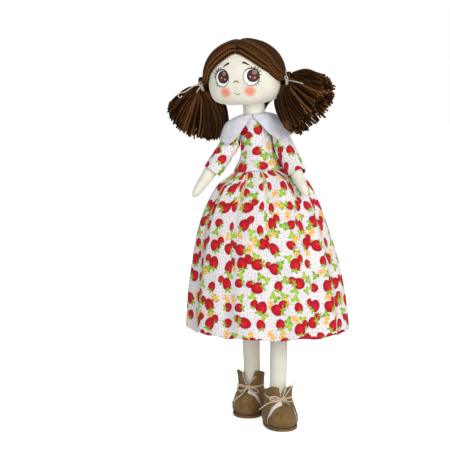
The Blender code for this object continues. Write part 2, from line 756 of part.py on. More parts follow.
def build_hair(head_frame, yarn, twine):
    """Yarn cap in two halves, the stitched parting between them, and the stub at each tie."""
    cutters = hair_cutters(head_frame)
    half_parting = PARTING_WIDTH / 2
    bounds = {
        "hair_left": (half_parting + CLEARANCE, HAIR_WIDTH, 0, yarn),
        "hair_right": (-HAIR_WIDTH, -half_parting - CLEARANCE, 0, yarn),
        "hair_parting": (-half_parting, half_parting, PARTING_SUNK, twine),
    }
    for name, (low_x, high_x, sunk, finish) in bounds.items():
        piece = add_object(name, loft(name, hair_rows(sunk), 28, square=HEAD_SQUARE), head_frame, finish)
        low = (low_x, -HAIR_DEPTH, -HAIR_HEIGHT)
        high = (high_x, HAIR_DEPTH, 2 * HAIR_HEIGHT)
        combine(piece, block(name + "_side", low, high, head_frame), "INTERSECT")
        for cutter in cutters:
            combine(piece, cutter, "DIFFERENCE")
        if sunk == 0:
            combine(piece, build_stub(name, head_frame), "UNION")


def tie_place(sign, out=0):
    """Point on the axis of a pigtail's tie, measured outwards from the cap's surface."""
    return Vector((sign * (HAIR_WIDTH / 2 + out), TIE_BACK, TIE_HEIGHT_SHARE * HEAD_HEIGHT))


def build_stub(name, head_frame):
    """Short neck of drawn yarn that the tie is bound round."""
    sign = 1 if name.endswith("left") else -1
    buried = HAIR_WIDTH / 2 - HEAD_WIDTH / 2 - CLEARANCE * 2
    middle = tie_place(sign, (STUB_LENGTH - buried) / 2)
    placed = Matrix.Translation(middle) @ turn_about("Y", 90)
    return rod(name + "_stub", STUB_DIAMETER / 2, (STUB_LENGTH + buried) / 2, head_frame, placed)


def bow_meshes(name, front, up, out, tails, size, bend):
    """Two loops and the tails of a bow at a point, with its up and outward directions."""
    side = up.cross(out).normalized()
    twine = TWINE_DIAMETER / 2
    length = BOW_LOOP_LENGTH * size
    meshes = []
    for number, sign in enumerate((1, -1)):
        loop = []
        for step in range(8):
            angle = math.tau * step / 8
            share = (1 - math.cos(angle)) / 2
            rise = BOW_LOOP_HEIGHT * size / 2 * math.sin(angle) * (share + 1 / 3)
            loop.append(front + sign * side * length * share + up * rise - out * length * bend * share ** 2)
        meshes.append(curve_mesh(f"{name}_loop_{number}", loop, radius=twine, closed=True))
    for number, direction in enumerate(tails):
        reach = (side * direction[0] + up * direction[1] + out * direction[2]) * BOW_TAIL_LENGTH * size
        tail = [front, front + reach / 2 + out * TWINE_DIAMETER, front + reach]
        meshes.append(curve_mesh(f"{name}_tail_{number}", tail, radius=twine))
    return meshes


def tied_twine(name, band, bow, frame, twine_finish):
    """One body of twine: a closed band with a knot and bow at its front."""
    mesh = curve_mesh(name, band, radius=TWINE_DIAMETER / 2, closed=True)
    piece = add_object(name, mesh, frame, twine_finish)
    bm = bmesh.new()
    bmesh.ops.create_icosphere(bm, subdivisions=1, radius=BOW_KNOT_DIAMETER / 2)
    bmesh.ops.translate(bm, vec=bow["front"], verts=bm.verts)
    for mesh in [mesh_from(name + "_knot", bm)] + bow_meshes(name, **bow):
        combine(piece, add_object(mesh.name + "_part", mesh, frame), "UNION")


def build_pigtail(side, sign, head_frame, yarn, twine):
    """Loose fan of cut yarn beyond its tie, and the twine bound round the stub."""
    root = PIGTAIL_ROOT_DIAMETER / 2
    hinge = tie_place(sign, STUB_LENGTH + CLEARANCE + root)
    out = turn_about("Y", -sign * PIGTAIL_OUT[side])
    frame = rig("pigtail_hinge_" + side, head_frame, hinge, out)
    lay = rig("pigtail_lay_" + side, frame, turn=turn_about("X", -PIGTAIL_FORWARD[side]))
    rows = [(root, root * 0.2, root * 0.2), (root * 0.8, root * 0.6, root * 0.6), (0, root, root)]
    for down, inner, outer, depth in PIGTAIL_SHARES:
        half_width = (inner + outer) / 2 * PIGTAIL_LENGTH
        shift = sign * (outer - inner) / 2 * PIGTAIL_LENGTH
        rows.append((-down * PIGTAIL_LENGTH, half_width, depth * PIGTAIL_THICKNESS / 2, shift, 0))
    add_object("pigtail_" + side, loft("pigtail_" + side, rows[::-1], 14, square=SOFT_SQUARE), lay, yarn)
    build_hair_tie(side, sign, head_frame, twine)


def build_hair_tie(side, sign, head_frame, twine):
    """Twine bound round the stub of drawn yarn, with its bow upright in front."""
    middle = tie_place(sign, STUB_LENGTH / 2)
    radius = STUB_DIAMETER / 2 + CLEARANCE + TWINE_DIAMETER / 2
    band = []
    for step in range(12):
        angle = math.tau * step / 12
        band.append(middle + Vector((0, radius * math.cos(angle), radius * math.sin(angle))))
    bow = {
        "front": middle + Vector((0, -radius - BOW_KNOT_DIAMETER / 4, 0)),
        "up": Vector((sign, 0, 0)),
        "out": Vector((0, -1, 0)),
        "tails": [(0.1 * sign, 0.65, 0.75), (-0.8 * sign, 0.3, 0.5)],
        "size": HAIR_BOW_SHARE,
        "bend": 0,
    }
    tied_twine("hair_tie_" + side, band, bow, head_frame, twine)


def build_hips(hips, cream):
    """Seam roll along the hip line, which both legs hang from."""
    radius = HIP_SEAM_DIAMETER / 2
    reach = LEG_SPACING / 2 + LEG_DIAMETER / 2
    profile = [(0, reach), (radius / 2, reach), (radius, reach - radius / 2)]
    profile += [(radius, radius / 2 - reach), (radius / 2, -reach), (0, -reach)]
    add_object("hip_seam", turned("hip_seam", profile, 12), hips, cream, turn_about("Y", 90))


def shoe_rows(inset, low, high):
    """Sections of the bootie between two heights, drawn in by an inset."""
    heights = [SOLE_THICKNESS + CLEARANCE + share[0] * (SHOE_HEIGHT - SOLE_THICKNESS) for share in SHOE_SHARES]
    columns = np.array(SHOE_SHARES)
    wanted = [low] + [height for height in heights if low < height < high] + [high]
    rows = []
    for height in wanted:
        width = np.interp(height, heights, columns[:, 1]) * SHOE_WIDTH / 2 - inset
        toe = np.interp(height, heights, columns[:, 2]) * TOE_LENGTH - inset
        heel = np.interp(height, heights, columns[:, 3]) * HEEL_LENGTH - inset
        rows.append((height, width, (toe + heel) / 2, 0, (heel - toe) / 2))
    return rows


def build_leg(side, sign, hips, cream, felt, twine):
    """Stuffed leg and foot in its bootie."""
    half_spacing = sign * LEG_SPACING / 2
    leg_frame = rig("hip_" + side, hips, (half_spacing, 0, 0), turn_about("X", -LEG_SWING[side]))
    rows = [
        (-along * LEG_LENGTH, width * LEG_DIAMETER / 2, depth * LEG_DIAMETER / 2)
        for along, width, depth in reversed(LEG_SHARES)
    ]
    top = HIP_SEAM_DIAMETER / 2 + CLEARANCE
    rows.append((-top, rows[-1][1], LEG_TOP_DEPTH / 2))
    leg = add_object("leg_" + side, loft("leg_" + side, rows, 14), leg_frame, cream)
    level = turn_about("X", LEG_SWING[side]) @ turn_about("Z", sign * SHOE_TURN_OUT[side])
    ankle = Vector((0, 0, -LEG_LENGTH))
    sole_point = ankle + turn_about("X", LEG_SWING[side]) @ Vector((sign * SHOE_OUTWARD, 0, -ANKLE_HEIGHT))
    shoe = rig("shoe_frame_" + side, leg_frame, sole_point, level)
    floor = SOLE_THICKNESS + CLEARANCE
    foot_rows = []
    for up, width, toe, heel in FOOT_SHARES:
        height = floor + up * (SHOE_HEIGHT - floor)
        front, back = toe * TOE_LENGTH, heel * HEEL_LENGTH
        foot_rows.append((height, width * SHOE_WIDTH / 2, (front + back) / 2, 0, (back - front) / 2))
    foot = add_object("foot_" + side, loft("foot_" + side, foot_rows, 14, SHOE_SQUARE), shoe)
    combine(leg, foot, "UNION")
    build_shoe(side, shoe, felt, twine)


def build_shoe(side, shoe, felt, twine):
    """Felt bootie: sole, vamp over the toes, quarter wrapped round the heel, and its lace."""
    half_width = SHOE_WIDTH / 2
    outline = [(across * half_width, along * (TOE_LENGTH if along < 0 else HEEL_LENGTH))
               for across, along in SOLE_SHARES[:-2]]
    outline += [(-across, along) for across, along in reversed(outline[1:])]
    sole = curve_mesh("shoe_sole_" + side, outline, extrude=SOLE_THICKNESS / 2)
    add_object("shoe_sole_" + side, sole, shoe, felt, Matrix.Translation((0, 0, SOLE_THICKNESS / 2)))
    floor = SOLE_THICKNESS + CLEARANCE
    knot_height = KNOT_HEIGHT_SHARE * SHOE_HEIGHT
    vamp_name = "shoe_vamp_" + side
    rows = shoe_rows(FELT + CLEARANCE, floor, knot_height + FELT)
    vamp = add_object(vamp_name, loft(vamp_name, rows, 24, SHOE_SQUARE, closed=False), shoe, felt)
    thicken(vamp, FELT)
    low = (-SHOE_WIDTH, HEEL_LENGTH / 4, -OVERRUN)
    high = (SHOE_WIDTH, 2 * HEEL_LENGTH, 2 * SHOE_HEIGHT)
    combine(vamp, block(vamp_name + "_back", low, high, shoe), "DIFFERENCE")
    name = "shoe_quarter_" + side
    rows = shoe_rows(0, floor, SHOE_HEIGHT + FELT)
    quarter = add_object(name, loft(name, rows, 24, SHOE_SQUARE, closed=False), shoe, felt)
    thicken(quarter, FELT)
    for cutter in quarter_cutters(name, shoe, knot_height):
        combine(quarter, cutter, "DIFFERENCE")
    build_lace(side, shoe, knot_height, twine)


def quarter_cutters(name, shoe, knot_height):
    """Cutters that leave the quarter's slanted front edges, its flaps and its lower back rim."""
    upright = Matrix(((0, 0, 1, 0), (1, 0, 0, 0), (0, 1, 0, 0), (0, 0, 0, 1)))
    toe = [
        (-2 * TOE_LENGTH, -OVERRUN), (-0.50 * TOE_LENGTH, -OVERRUN), (-0.54 * TOE_LENGTH, 0.06 * SHOE_HEIGHT),
        (-0.46 * TOE_LENGTH, 0.30 * SHOE_HEIGHT), (-0.36 * TOE_LENGTH, knot_height - FELT),
        (-2 * TOE_LENGTH, knot_height - FELT),
    ]
    rim = [
        (-2 * TOE_LENGTH, 2 * SHOE_HEIGHT), (-2 * TOE_LENGTH, SHOE_HEIGHT), (-0.20 * TOE_LENGTH, SHOE_HEIGHT),
        (0, 0.90 * SHOE_HEIGHT), (0.30 * HEEL_LENGTH, 0.80 * SHOE_HEIGHT),
        (0.62 * HEEL_LENGTH, BACK_RIM_SHARE * SHOE_HEIGHT), (2 * HEEL_LENGTH, BACK_RIM_SHARE * SHOE_HEIGHT),
        (2 * HEEL_LENGTH, 2 * SHOE_HEIGHT),
    ]
    notch = [(0.03 * SHOE_WIDTH / 2, knot_height - 3 * FELT), (0.46 * SHOE_WIDTH / 2, 1.1 * SHOE_HEIGHT),
             (-0.46 * SHOE_WIDTH / 2, 1.1 * SHOE_HEIGHT), (-0.03 * SHOE_WIDTH / 2, knot_height - 3 * FELT)]
    front = Matrix.Translation((0, -TOE_LENGTH, 0)) @ turn_about("X", 90)
    return [
        prism(name + "_toe", toe, SHOE_WIDTH, shoe, upright),
        prism(name + "_rim", rim, SHOE_WIDTH, shoe, upright),
        prism(name + "_notch", notch, TOE_LENGTH, shoe, front),
    ]


def build_lace(side, shoe, knot_height, twine):
    """Twine tied round the ankle of the bootie, with a bow in front."""
    radius = TWINE_DIAMETER / 2
    row = shoe_rows(-(CLEARANCE + radius), knot_height, knot_height + FELT)[0]
    bow = {
        "front": Vector((0, row[4] - row[2] - BOW_KNOT_DIAMETER / 4, knot_height)),
        "up": Vector((0, 0, 1)),
        "out": Vector((0, -1, 0)),
        "tails": [(-0.80, -0.60, 0.35), (0.55, 0.80, 0.30)],
        "size": 1,
        "bend": 1 / 3,
    }
    tied_twine("shoe_lace_" + side, section(*row, 24, SHOE_SQUARE), bow, shoe, twine)


def settle_on_origin(root):
    """Shift everything so that the origin is the middle of the doll's bottom."""
    bpy.context.view_layer.update()
    graph = bpy.context.evaluated_depsgraph_get()
    corners = []
    for piece in COLLECTIONS["rag_doll"].objects:
        if piece.type == "MESH":
            solid = piece.evaluated_get(graph)
            corners += [solid.matrix_world @ vert.co for vert in solid.data.vertices]
    low = [min(corner[axis] for corner in corners) for axis in range(3)]
    high = [max(corner[axis] for corner in corners) for axis in range(3)]
    root.location = (-(low[0] + high[0]) / 2, -(low[1] + high[1]) / 2, -low[2])


def build_doll():
    """Assemble the doll."""
    cream = material("cream_cloth", CREAM, 0.9)
    yarn = material("brown_yarn", BROWN_YARN, 0.8)
    cotton = material("printed_cotton", COTTON_PRINT, 0.9)
    white = material("white_felt", WHITE_FELT, 0.95)
    felt = material("khaki_felt", KHAKI_FELT, 0.95)
    twine = material("twine", TWINE, 0.9)
    wood = material("wood", WOOD, 0.6)
    plastic = material("button_plastic", BUTTON_WHITE, 0.4)

    root = rig("stand", None)
    hip_height = ANKLE_HEIGHT + LEG_LENGTH * math.cos(math.radians(LEG_SWING["left"]))
    hips = rig("hips", root, (0, 0, hip_height))
    torso_frame = rig("torso_frame", hips, turn=turn_about("Y", TORSO_LEAN))
    neck_height = TRUNK_HEIGHT + NECK_LENGTH - NECK_SEATED
    neck_frame = rig("neck_frame", torso_frame, (0, 0, neck_height), turn_about("Z", HEAD_YAW))
    seat = (HEAD_SIDE, -HEAD_FORWARD, 0)
    head_frame = rig("head_frame", neck_frame, seat, turn_about("Y", HEAD_ROLL))

    build_torso(torso_frame, hips, cream, wood, white)
    build_bodice(torso_frame, cotton, plastic)
    build_skirt(hips, cotton)
    build_collar(torso_frame, white)
    build_head(head_frame, torso_frame, cream)
    build_hair(head_frame, yarn, twine)
    build_hips(hips, cream)
    for side, sign in SIDES.items():
        build_arm(side, sign, torso_frame, cream, cotton, plastic)
        build_pigtail(side, sign, head_frame, yarn, twine)
        build_leg(side, sign, hips, cream, felt, twine)
    settle_on_origin(root)


build_doll()
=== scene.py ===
"""The rag doll as it looks: stuffed cotton, yarn hair, printed dress, felt collar and felt booties.

Metres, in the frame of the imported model: +Z up, the doll faces -Y and its own left side is +X.
"""
import json
import math
import random

import bmesh
import bpy
import numpy as np
from mathutils import Matrix, Vector
from mathutils.bvhtree import BVHTree


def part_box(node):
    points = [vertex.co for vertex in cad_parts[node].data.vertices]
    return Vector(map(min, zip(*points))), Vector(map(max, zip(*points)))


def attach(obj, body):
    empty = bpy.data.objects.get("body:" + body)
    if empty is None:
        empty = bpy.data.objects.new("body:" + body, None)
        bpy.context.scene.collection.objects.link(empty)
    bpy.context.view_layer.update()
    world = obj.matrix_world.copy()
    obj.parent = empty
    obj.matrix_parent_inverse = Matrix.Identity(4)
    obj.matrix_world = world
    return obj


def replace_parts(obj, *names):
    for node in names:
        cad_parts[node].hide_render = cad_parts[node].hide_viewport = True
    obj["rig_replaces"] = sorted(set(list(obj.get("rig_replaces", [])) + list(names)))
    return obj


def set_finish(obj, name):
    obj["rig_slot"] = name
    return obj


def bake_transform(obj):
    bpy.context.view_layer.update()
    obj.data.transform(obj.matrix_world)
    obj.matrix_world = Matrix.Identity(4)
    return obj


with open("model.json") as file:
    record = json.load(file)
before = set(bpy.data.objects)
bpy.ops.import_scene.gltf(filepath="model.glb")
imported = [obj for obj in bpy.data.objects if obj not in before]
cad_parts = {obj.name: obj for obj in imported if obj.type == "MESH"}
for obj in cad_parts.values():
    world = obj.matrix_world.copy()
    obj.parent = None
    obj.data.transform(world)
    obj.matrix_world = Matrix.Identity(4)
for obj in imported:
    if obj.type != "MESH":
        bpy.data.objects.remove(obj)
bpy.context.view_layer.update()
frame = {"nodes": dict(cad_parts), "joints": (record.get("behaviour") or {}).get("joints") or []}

SIDES = {"left": 1, "right": -1}
MM = 0.001
CHANCE = random.Random(7)
JOINTS = {joint["name"]: Vector(joint["pos_m"]) for joint in frame["joints"]}

# Sizes and turns, as in the part's source
TORSO_LEAN, HEAD_YAW, HEAD_ROLL = -5.4, -6.0, 1.7
ARM_SPLAY, ARM_SWING = {"left": 21.5, "right": 38.0}, {"left": 26.0, "right": 13.0}
LEG_SWING, SHOE_TURN_OUT = {"left": 6.5, "right": -6.5}, {"left": 20.0, "right": 4.0}
PIGTAIL_OUT, PIGTAIL_FORWARD = {"left": 43.0, "right": 10.0}, {"left": 30.0, "right": -30.0}
TRUNK_HEIGHT, HIP_WIDTH, TRUNK_DEPTH = 0.1405, 0.066, 0.041
NECK_RADIUS, NECK_LENGTH, NECK_SEATED = 0.0126, 0.0235, 0.0095
TORSO_SHARES = [
    (0.016, 0.66, 0.055), (0.05, 0.79, 0.25), (0.10, 0.90, 0.54), (0.17, 0.97, 0.78), (0.27, 1.0, 0.97),
    (0.37, 0.97, 1.0), (0.47, 0.92, 0.95), (0.548, 0.88, 0.915), (0.60, 0.77, 0.87), (0.655, 0.63, 0.83),
    (0.712, 0.56, 0.80), (0.80, 0.545, 0.78), (0.89, 0.545, 0.71), (0.932, 0.525, 0.66), (0.968, 0.465, 0.635)]
SHOULDER_HEIGHT, SHOULDER_FACE, SHOULDER_INSET = 0.854 * TRUNK_HEIGHT, 0.0173, 0.0072
ARM_LENGTH, ARM_WIDTH, ARM_DEPTH = 0.0875, 0.015, 0.0158
ARM_FACE, ARM_BUTTON, THREAD_KNOT = 0.0056, 0.0012, 0.0016
ARM_SHARES = [
    (0.085, 0.05, 0.05), (0.078, 0.50, 0.50), (0.055, 0.80, 0.80), (0.02, 0.97, 0.97), (-0.05, 1.0, 1.0),
    (-0.25, 0.98, 0.98), (-0.45, 1.0, 1.02), (-0.60, 1.02, 1.04), (-0.72, 0.90, 0.98), (-0.83, 0.78, 0.98),
    (-0.92, 0.62, 0.84), (-0.98, 0.34, 0.48), (-1.0, 0.05, 0.05)]
LEG_LENGTH, LEG_RADIUS, ANKLE_HEIGHT, HIP_SEAM_RADIUS = 0.2094, 0.01, 0.012, 0.002
LEG_SHARES = [
    (0.03, 0.95, 0.22), (0.06, 0.97, 0.40), (0.10, 1.0, 0.64), (0.145, 1.02, 0.88), (0.20, 1.04, 1.02),
    (0.40, 1.03, 1.03), (0.50, 0.97, 0.97), (0.60, 1.03, 1.03), (0.80, 1.0, 1.0), (0.93, 0.98, 0.98),
    (1.0, 0.96, 0.96)]
SHOE_HALF, SHOE_OUTWARD, TOE_LENGTH, HEEL_LENGTH = 0.0205, 0.0013, 0.037, 0.022
SOLE_THICKNESS, FELT, SHOE_HEIGHT, KNOT_HEIGHT, CLEARANCE = 0.003, 0.0016, 0.050, 0.0340, 0.0003
SHOE_FLOOR = SOLE_THICKNESS + CLEARANCE
SHOE_SHARES = [
    (0.0, 0.88, 0.955, 0.95), (0.09, 0.98, 1.0, 1.0), (0.21, 0.98, 0.98, 1.0), (0.33, 0.91, 0.89, 0.98),
    (0.44, 0.85, 0.76, 0.94), (0.54, 0.775, 0.60, 0.87), (0.66, 0.745, 0.50, 0.80), (0.83, 0.76, 0.49, 0.78),
    (1.06, 0.815, 0.50, 0.79)]
SOLE_SHARES = [
    (0.0, -1.0), (0.38, -0.95), (0.68, -0.80), (0.90, -0.52), (0.95, -0.18), (0.86, 0.25), (0.76, 0.70), (0.5, 0.95),
    (0.0, 1.0)]
FOOT_SHARES = [
    (0.0, 0.60, 0.62, 0.60), (0.015, 0.70, 0.72, 0.68), (0.10, 0.77, 0.77, 0.73), (0.23, 0.75, 0.73, 0.73),
    (0.36, 0.65, 0.59, 0.63), (0.49, 0.46, 0.30, 0.46), (0.58, 0.30, 0.14, 0.30), (0.60, 0.05, 0.02, 0.05)]
TWINE = 0.00065
HEAD_WIDTH, HEAD_DEPTH, HEAD_HEIGHT, HEAD_FORWARD, HEAD_SIDE = 0.083, 0.064, 0.0715, 0.010, -0.0065
HEAD_SHARES = [
    (0.0, 0.05, 0.05), (0.008, 0.40, 0.34), (0.03, 0.64, 0.54), (0.083, 0.85, 0.74), (0.17, 0.95, 0.88),
    (0.32, 1.0, 0.98), (0.48, 0.985, 1.0), (0.63, 0.92, 0.95), (0.77, 0.79, 0.83), (0.88, 0.60, 0.64),
    (0.96, 0.36, 0.38), (1.0, 0.05, 0.05)]
HAIR_WIDTH, HAIR_DEPTH, HAIR_HEIGHT, HAIR_DROP, HAIR_BACK = 0.097, 0.077, 0.0775, 0.0015, 0.0015
HAIR_SHARES = [
    (0.0, 0.05, 0.05), (0.01, 0.42, 0.40), (0.045, 0.70, 0.64), (0.12, 0.87, 0.82), (0.24, 0.97, 0.94),
    (0.40, 1.0, 1.0), (0.56, 0.965, 0.99), (0.72, 0.86, 0.91), (0.86, 0.66, 0.73), (0.945, 0.42, 0.48),
    (0.985, 0.20, 0.24), (1.0, 0.04, 0.05)]
TIE_Y, TIE_Z, STUB_RADIUS, STUB_LENGTH = 0.002, 0.02467, 0.005, 0.005
PIGTAIL_THICKNESS = 0.030
COTTON, SKIRT_TOP, SKIRT_LENGTH, HEM_WIDTH, HEM_DEPTH, SKIRT_FOLDS = 0.0012, 0.548, 0.186, 0.190, 0.152, 11
SKIRT_SHARES = [
    (0.025, 0.39, 0.30, 0.85, 1.0, 0.012), (0.065, 0.52, 0.35, 0.58, 0.8, 0.02), (0.13, 0.61, 0.43, 0.5, 0.5, 0.022),
    (0.27, 0.735, 0.61, 0.5, 0.2, 0.022), (0.53, 0.88, 0.84, 0.1, 0, 0.022), (0.81, 0.97, 0.96, -0.2, 0, 0.024),
    (1, 1, 1, -0.35, 0, 0.026)]
SLEEVE_RADIUS, SLEEVE_LENGTH, SLEEVE_SEAM = 0.0111, {"left": 0.0585, "right": 0.05}, 0.0205
SLEEVE_OUTWARD = {"left": 0.0004, "right": -0.0013}
COLLAR_FELT, COLLAR_WIDTH, COLLAR_DEPTH, COLLAR_DROP, COLLAR_TOP = 0.0014, 0.078, 0.043, 0.032, 0.1435
COLLAR_SHARES = [
    (0.0, 0.372, 0.655), (0.03, 0.48, 0.72), (0.075, 0.60, 0.78), (0.13, 0.69, 0.82), (0.21, 0.825, 0.86),
    (0.34, 0.93, 0.915), (0.5, 1.0, 0.97), (0.7, 1.07, 1.02), (0.86, 1.14, 1.06), (1.02, 1.21, 1.10)]
COLLAR_EDGE = [
    (0.008, 0.06), (0.22, 0.36), (0.43, 0.68), (0.60, 0.88), (0.74, 0.985), (0.86, 0.99), (0.98, 0.92), (1.2, 0.80)]

# Where the hair parts, and the hairline on the face: across and up in the head's frame, in millimetres
PARTING = -2.2
HAIRLINE = {
    "left": [(-2.2, 60.6), (4, 57.6), (12.5, 52.2), (26, 42.0), (34, 35.6), (38.5, 32.2), (41, 30.4), (44, 28.5)],
    "right": [(2.2, 60.6), (7, 57.8), (13, 54.2), (26.6, 45.6), (34, 38.6), (38, 34.2), (41, 31.0), (44, 28.0)],
}

# Creases under the skirt's waist: place round it in degrees, depth, and length from 0 to 2
CREASES = [
    (-84, 0.085, 1), (-97, 0.05, 0), (-71, 0.05, 0), (-60, 0.07, 2), (-110, 0.06, 1), (-124, 0.07, 0),
    (-141, 0.08, 2), (-47, 0.06, 0), (-33, 0.06, 1), (-18, 0.05, 0), (-2, 0.06, 1), (16, 0.05, 0), (34, 0.06, 2),
    (52, 0.05, 0), (71, 0.07, 1), (90, 0.06, 0), (108, 0.06, 2), (127, 0.05, 0), (147, 0.06, 1), (165, 0.05, 0),
    (183, 0.06, 2), (201, 0.05, 0)]

# Run of the yarn in each loose fan of hair, from the tie to the cut ends: outwards and up in the fan's plane, in
# millimetres from its hinge, from the strands next to the head to those on top
FANS = {
    "left": [
        [(-18.5, 7.2), (-27.5, 2.1), (-34.5, -11.0), (-39.5, -28.7), (-42.0, -43.5)],
        [(-19.0, 1.2), (-25.8, -9.0), (-31.0, -22.5), (-34.6, -37.5), (-37.0, -51.7)],
        [(-15.0, -3.6), (-18.8, -13.6), (-22.0, -26.0), (-24.4, -40.5), (-25.5, -55.6)],
        [(-9.2, -7.0), (-9.8, -18.5), (-10.2, -32.0), (-10.0, -44.5), (-8.8, -57.5)],
        [(-3.0, -5.3), (0.5, -17.0), (3.6, -30.0), (6.4, -42.5), (9.2, -54.5)],
        [(3.2, -4.0), (8.2, -14.0), (13.0, -26.0), (17.4, -37.2), (21.4, -47.2)],
        [(5.6, 2.6), (12.4, -4.6), (18.8, -14.6), (24.4, -26.4), (29.0, -38.8)],
        [(3.0, 7.2), (10.2, 1.6), (18.0, -7.2), (24.8, -17.8), (30.8, -29.2)]],
    "right": [
        [(-18.0, -3.5), (-28.0, -13.5), (-33.5, -28.0), (-34.5, -43.0), (-33.0, -57.0)],
        [(-15.6, -9.4), (-22.8, -23.0), (-27.0, -37.0), (-28.6, -52.0), (-26.4, -66.0)],
        [(-12.4, -14.6), (-16.2, -28.5), (-17.6, -42.5), (-17.0, -57.0), (-15.4, -69.0)],
        [(-8.2, -15.3), (-8.6, -29.0), (-8.2, -42.5), (-6.9, -56.0), (-5.0, -68.0)],
        [(-2.5, -14.8), (0.4, -27.5), (3.5, -40.5), (6.8, -53.5), (9.8, -65.0)],
        [(2.2, -11.3), (7.6, -23.2), (12.9, -35.6), (18.2, -47.8), (23.1, -58.5)],
        [(6.9, -7.8), (14.6, -15.9), (21.6, -26.2), (27.8, -36.6), (33.4, -46.8)],
        [(7.8, -3.8), (16.2, -9.4), (23.6, -15.8), (30.4, -23.2), (36.8, -31.2)]],
}

# Squareness of the sections: 2 is an ellipse
HEAD_SQUARE, SHOE_SQUARE, EYE_SQUARE = 2.2, 2.3, 2.1

# Yarn: steps from parting to tie, strands of both kinds, wisps at the brow, the golden ratio that spreads the loose
# strands over their fan, places along a strand with its radius there, points of a loose strand, depth of the parting,
# height over the head at which yarn lies on it, least distance of a strand's middle from the head, and how far round
# the combed hair reaches, in degrees by the share of the way to the tie
HAIR_STEPS, HAIR_STRANDS, PIGTAIL_STRANDS, WISPS, GOLDEN = 26, 108, 215, {"left": 11, "right": 0}, 0.6180339
COMBED_RADII = ([0, 0.1, 0.7, 1], [0.0007, 0.00092, 0.00086, 0.00056])
LOOSE_RADII = ([0, 0.2, 0.6, 1], [0.0007, 0.00095, 0.00108, 0.00114])
STRAND_POINTS, PARTING_DEPTH, YARN_SEAT, SKIN_GAP = 19, 0.0017, 0.0011, 0.0012
NAPE = ([0, 0.3, 0.6, 0.85, 1.0], [216, 218, 226, 244, 285])

# Loop and ends of the twine round each bunch, in millimetres from its knot
TIE_ENDS = {
    "left": [
        [(0, 0, 0), (-1.4, -1.6, 2.6), (-1.2, -2.2, 5.4), (0.8, -2.0, 5.2), (1.2, -1.2, 2.2), (0.4, -0.6, -0.4)],
        [(0.4, -0.4, 0.3), (0.4, -0.2, 4.0), (-0.6, 1.2, 8.0), (-1.8, 3.0, 11.4)],
        [(0, -0.6, 0), (4, -4.0, 0.2), (10, -10.5, -0.6), (16, -15.6, -1.8), (22.5, -18.8, -3.6)]],
    "right": [
        [(0, 0, 0), (-1.6, -1.6, 2.2), (-1.0, -2.2, 4.4), (1.0, -2.0, 4.2), (1.4, -1.2, 1.8), (0.4, -0.6, -0.4)],
        [(0, -0.4, 0.3), (-6, -3.0, 1.2), (-14, -4.2, -3.0), (-20.5, -4.4, -6.4), (-25, -4.4, -6.6),
         (-27.6, -4.6, -9.2), (-25.6, -4.8, -12.0), (-22.6, -4.8, -10.4)],
        [(0, -0.6, 0), (-2.4, -2.2, -3.2), (-5.2, -3.4, -7.0)]],
}

# Bow and ends of each lace, in millimetres from its knot
LACE_ENDS = {
    "left": [
        [(0, 0, 0), (-4, -1.5, 2.4), (-9.5, -1.6, 4.6), (-14.0, -0.2, 3.4), (-14.6, 0.4, 0.6), (-9, -1.2, -0.9),
         (-3.5, -1.2, -0.6), (-0.4, 0, -0.2)],
        [(0, 0, 0), (4, -1.5, 1.4), (9.5, -1.2, 2.8), (13.6, 0.8, 1.6), (14.2, 1.2, -1.2), (10, -0.6, -2.8),
         (4.5, -1.2, -1.5), (0.6, 0, -0.3)],
        [(0, 0, 0), (-6, -1.6, -1.4), (-15, -1.0, -2.8), (-21, 0.5, -6.5), (-26.5, 2.5, -11.5)],
        [(0, 0, 0.3), (1.2, -0.8, 4.5), (3, -0.6, 9.5), (5, 0.4, 15)],
        [(0.4, 0, 0.2), (4, -0.8, 5.5), (8.5, -0.2, 11.5), (12, 1.0, 16), (16, 2.0, 21)]],
    "right": [
        [(0, 0, 0), (-4, -1.4, 1.9), (-9.5, -1.4, 3.5), (-12.8, 0.2, 2.2), (-13.0, 0.4, -3.0), (-8.5, -1.2, -4.6),
         (-3.5, -1.2, -2.2), (-0.4, 0, -0.2)],
        [(0, 0, 0), (4.5, -1.4, -0.2), (9.6, -1.2, -1.2), (12.6, 0.2, -2.6), (12.4, 0.2, -5.4), (8.6, -1.0, -5),
         (4, -1.2, -2.6), (0.5, 0, -0.3)],
        [(0, 0, 0), (-4, -1.5, -5.5), (-8, -2.5, -11), (-13, -2.5, -16), (-18.5, -1.5, -20)],
        [(0, 0, 0.2), (2.6, -0.6, 4.8), (6.0, 0.2, 9.6), (9.6, 1.6, 13.6)]],
}

# Booties: edge of the sole as height and share of its outline; front edge of the quarter as heights and places along
# the toe; how far its lining shows on the inner and the outer side; half width of the opening above the knot on both,
# in millimetres; and height of the rim from the heel to the front
SOLE_EDGE = ((0.0, 0.93), (0.0003, 0.975), (0.0009, 0.995), (0.0022, 0.995), (0.0028, 0.98), (0.003, 0.955))
QUARTER_EDGE = ([0.06, 0.15, 0.25, 0.30, 0.40, 0.50, 0.60, 0.68],
                [-0.50, -0.53, -0.54, -0.545, -0.55, -0.535, -0.52, -0.507])
LINING_SHOWN = (([0.22, 0.34, 0.5, 0.62, 0.68], [-0.2, 0.8, 1, 0.8, 0.2], 0.0029),
                ([0.06, 0.14, 0.32, 0.42], [-0.5, 1, 1, -0.6], 0.0012))
OPENINGS = {"left": ((0.5, 2.0, 2.6, 3.4), (0.5, 2.5, 5.0, 7.0)),
            "right": ((0.5, 3.0, 5.6, 7.4), (0.5, 3.5, 6.0, 7.6))}
RIM_SHARES = ([0, 0.25, 0.5, 0.72, 0.86, 0.96, 1.0], [0.80, 0.81, 0.88, 0.97, 1.0, 0.99, 0.965])
RIM_RISE = {"left": 0.97, "right": 1.08}

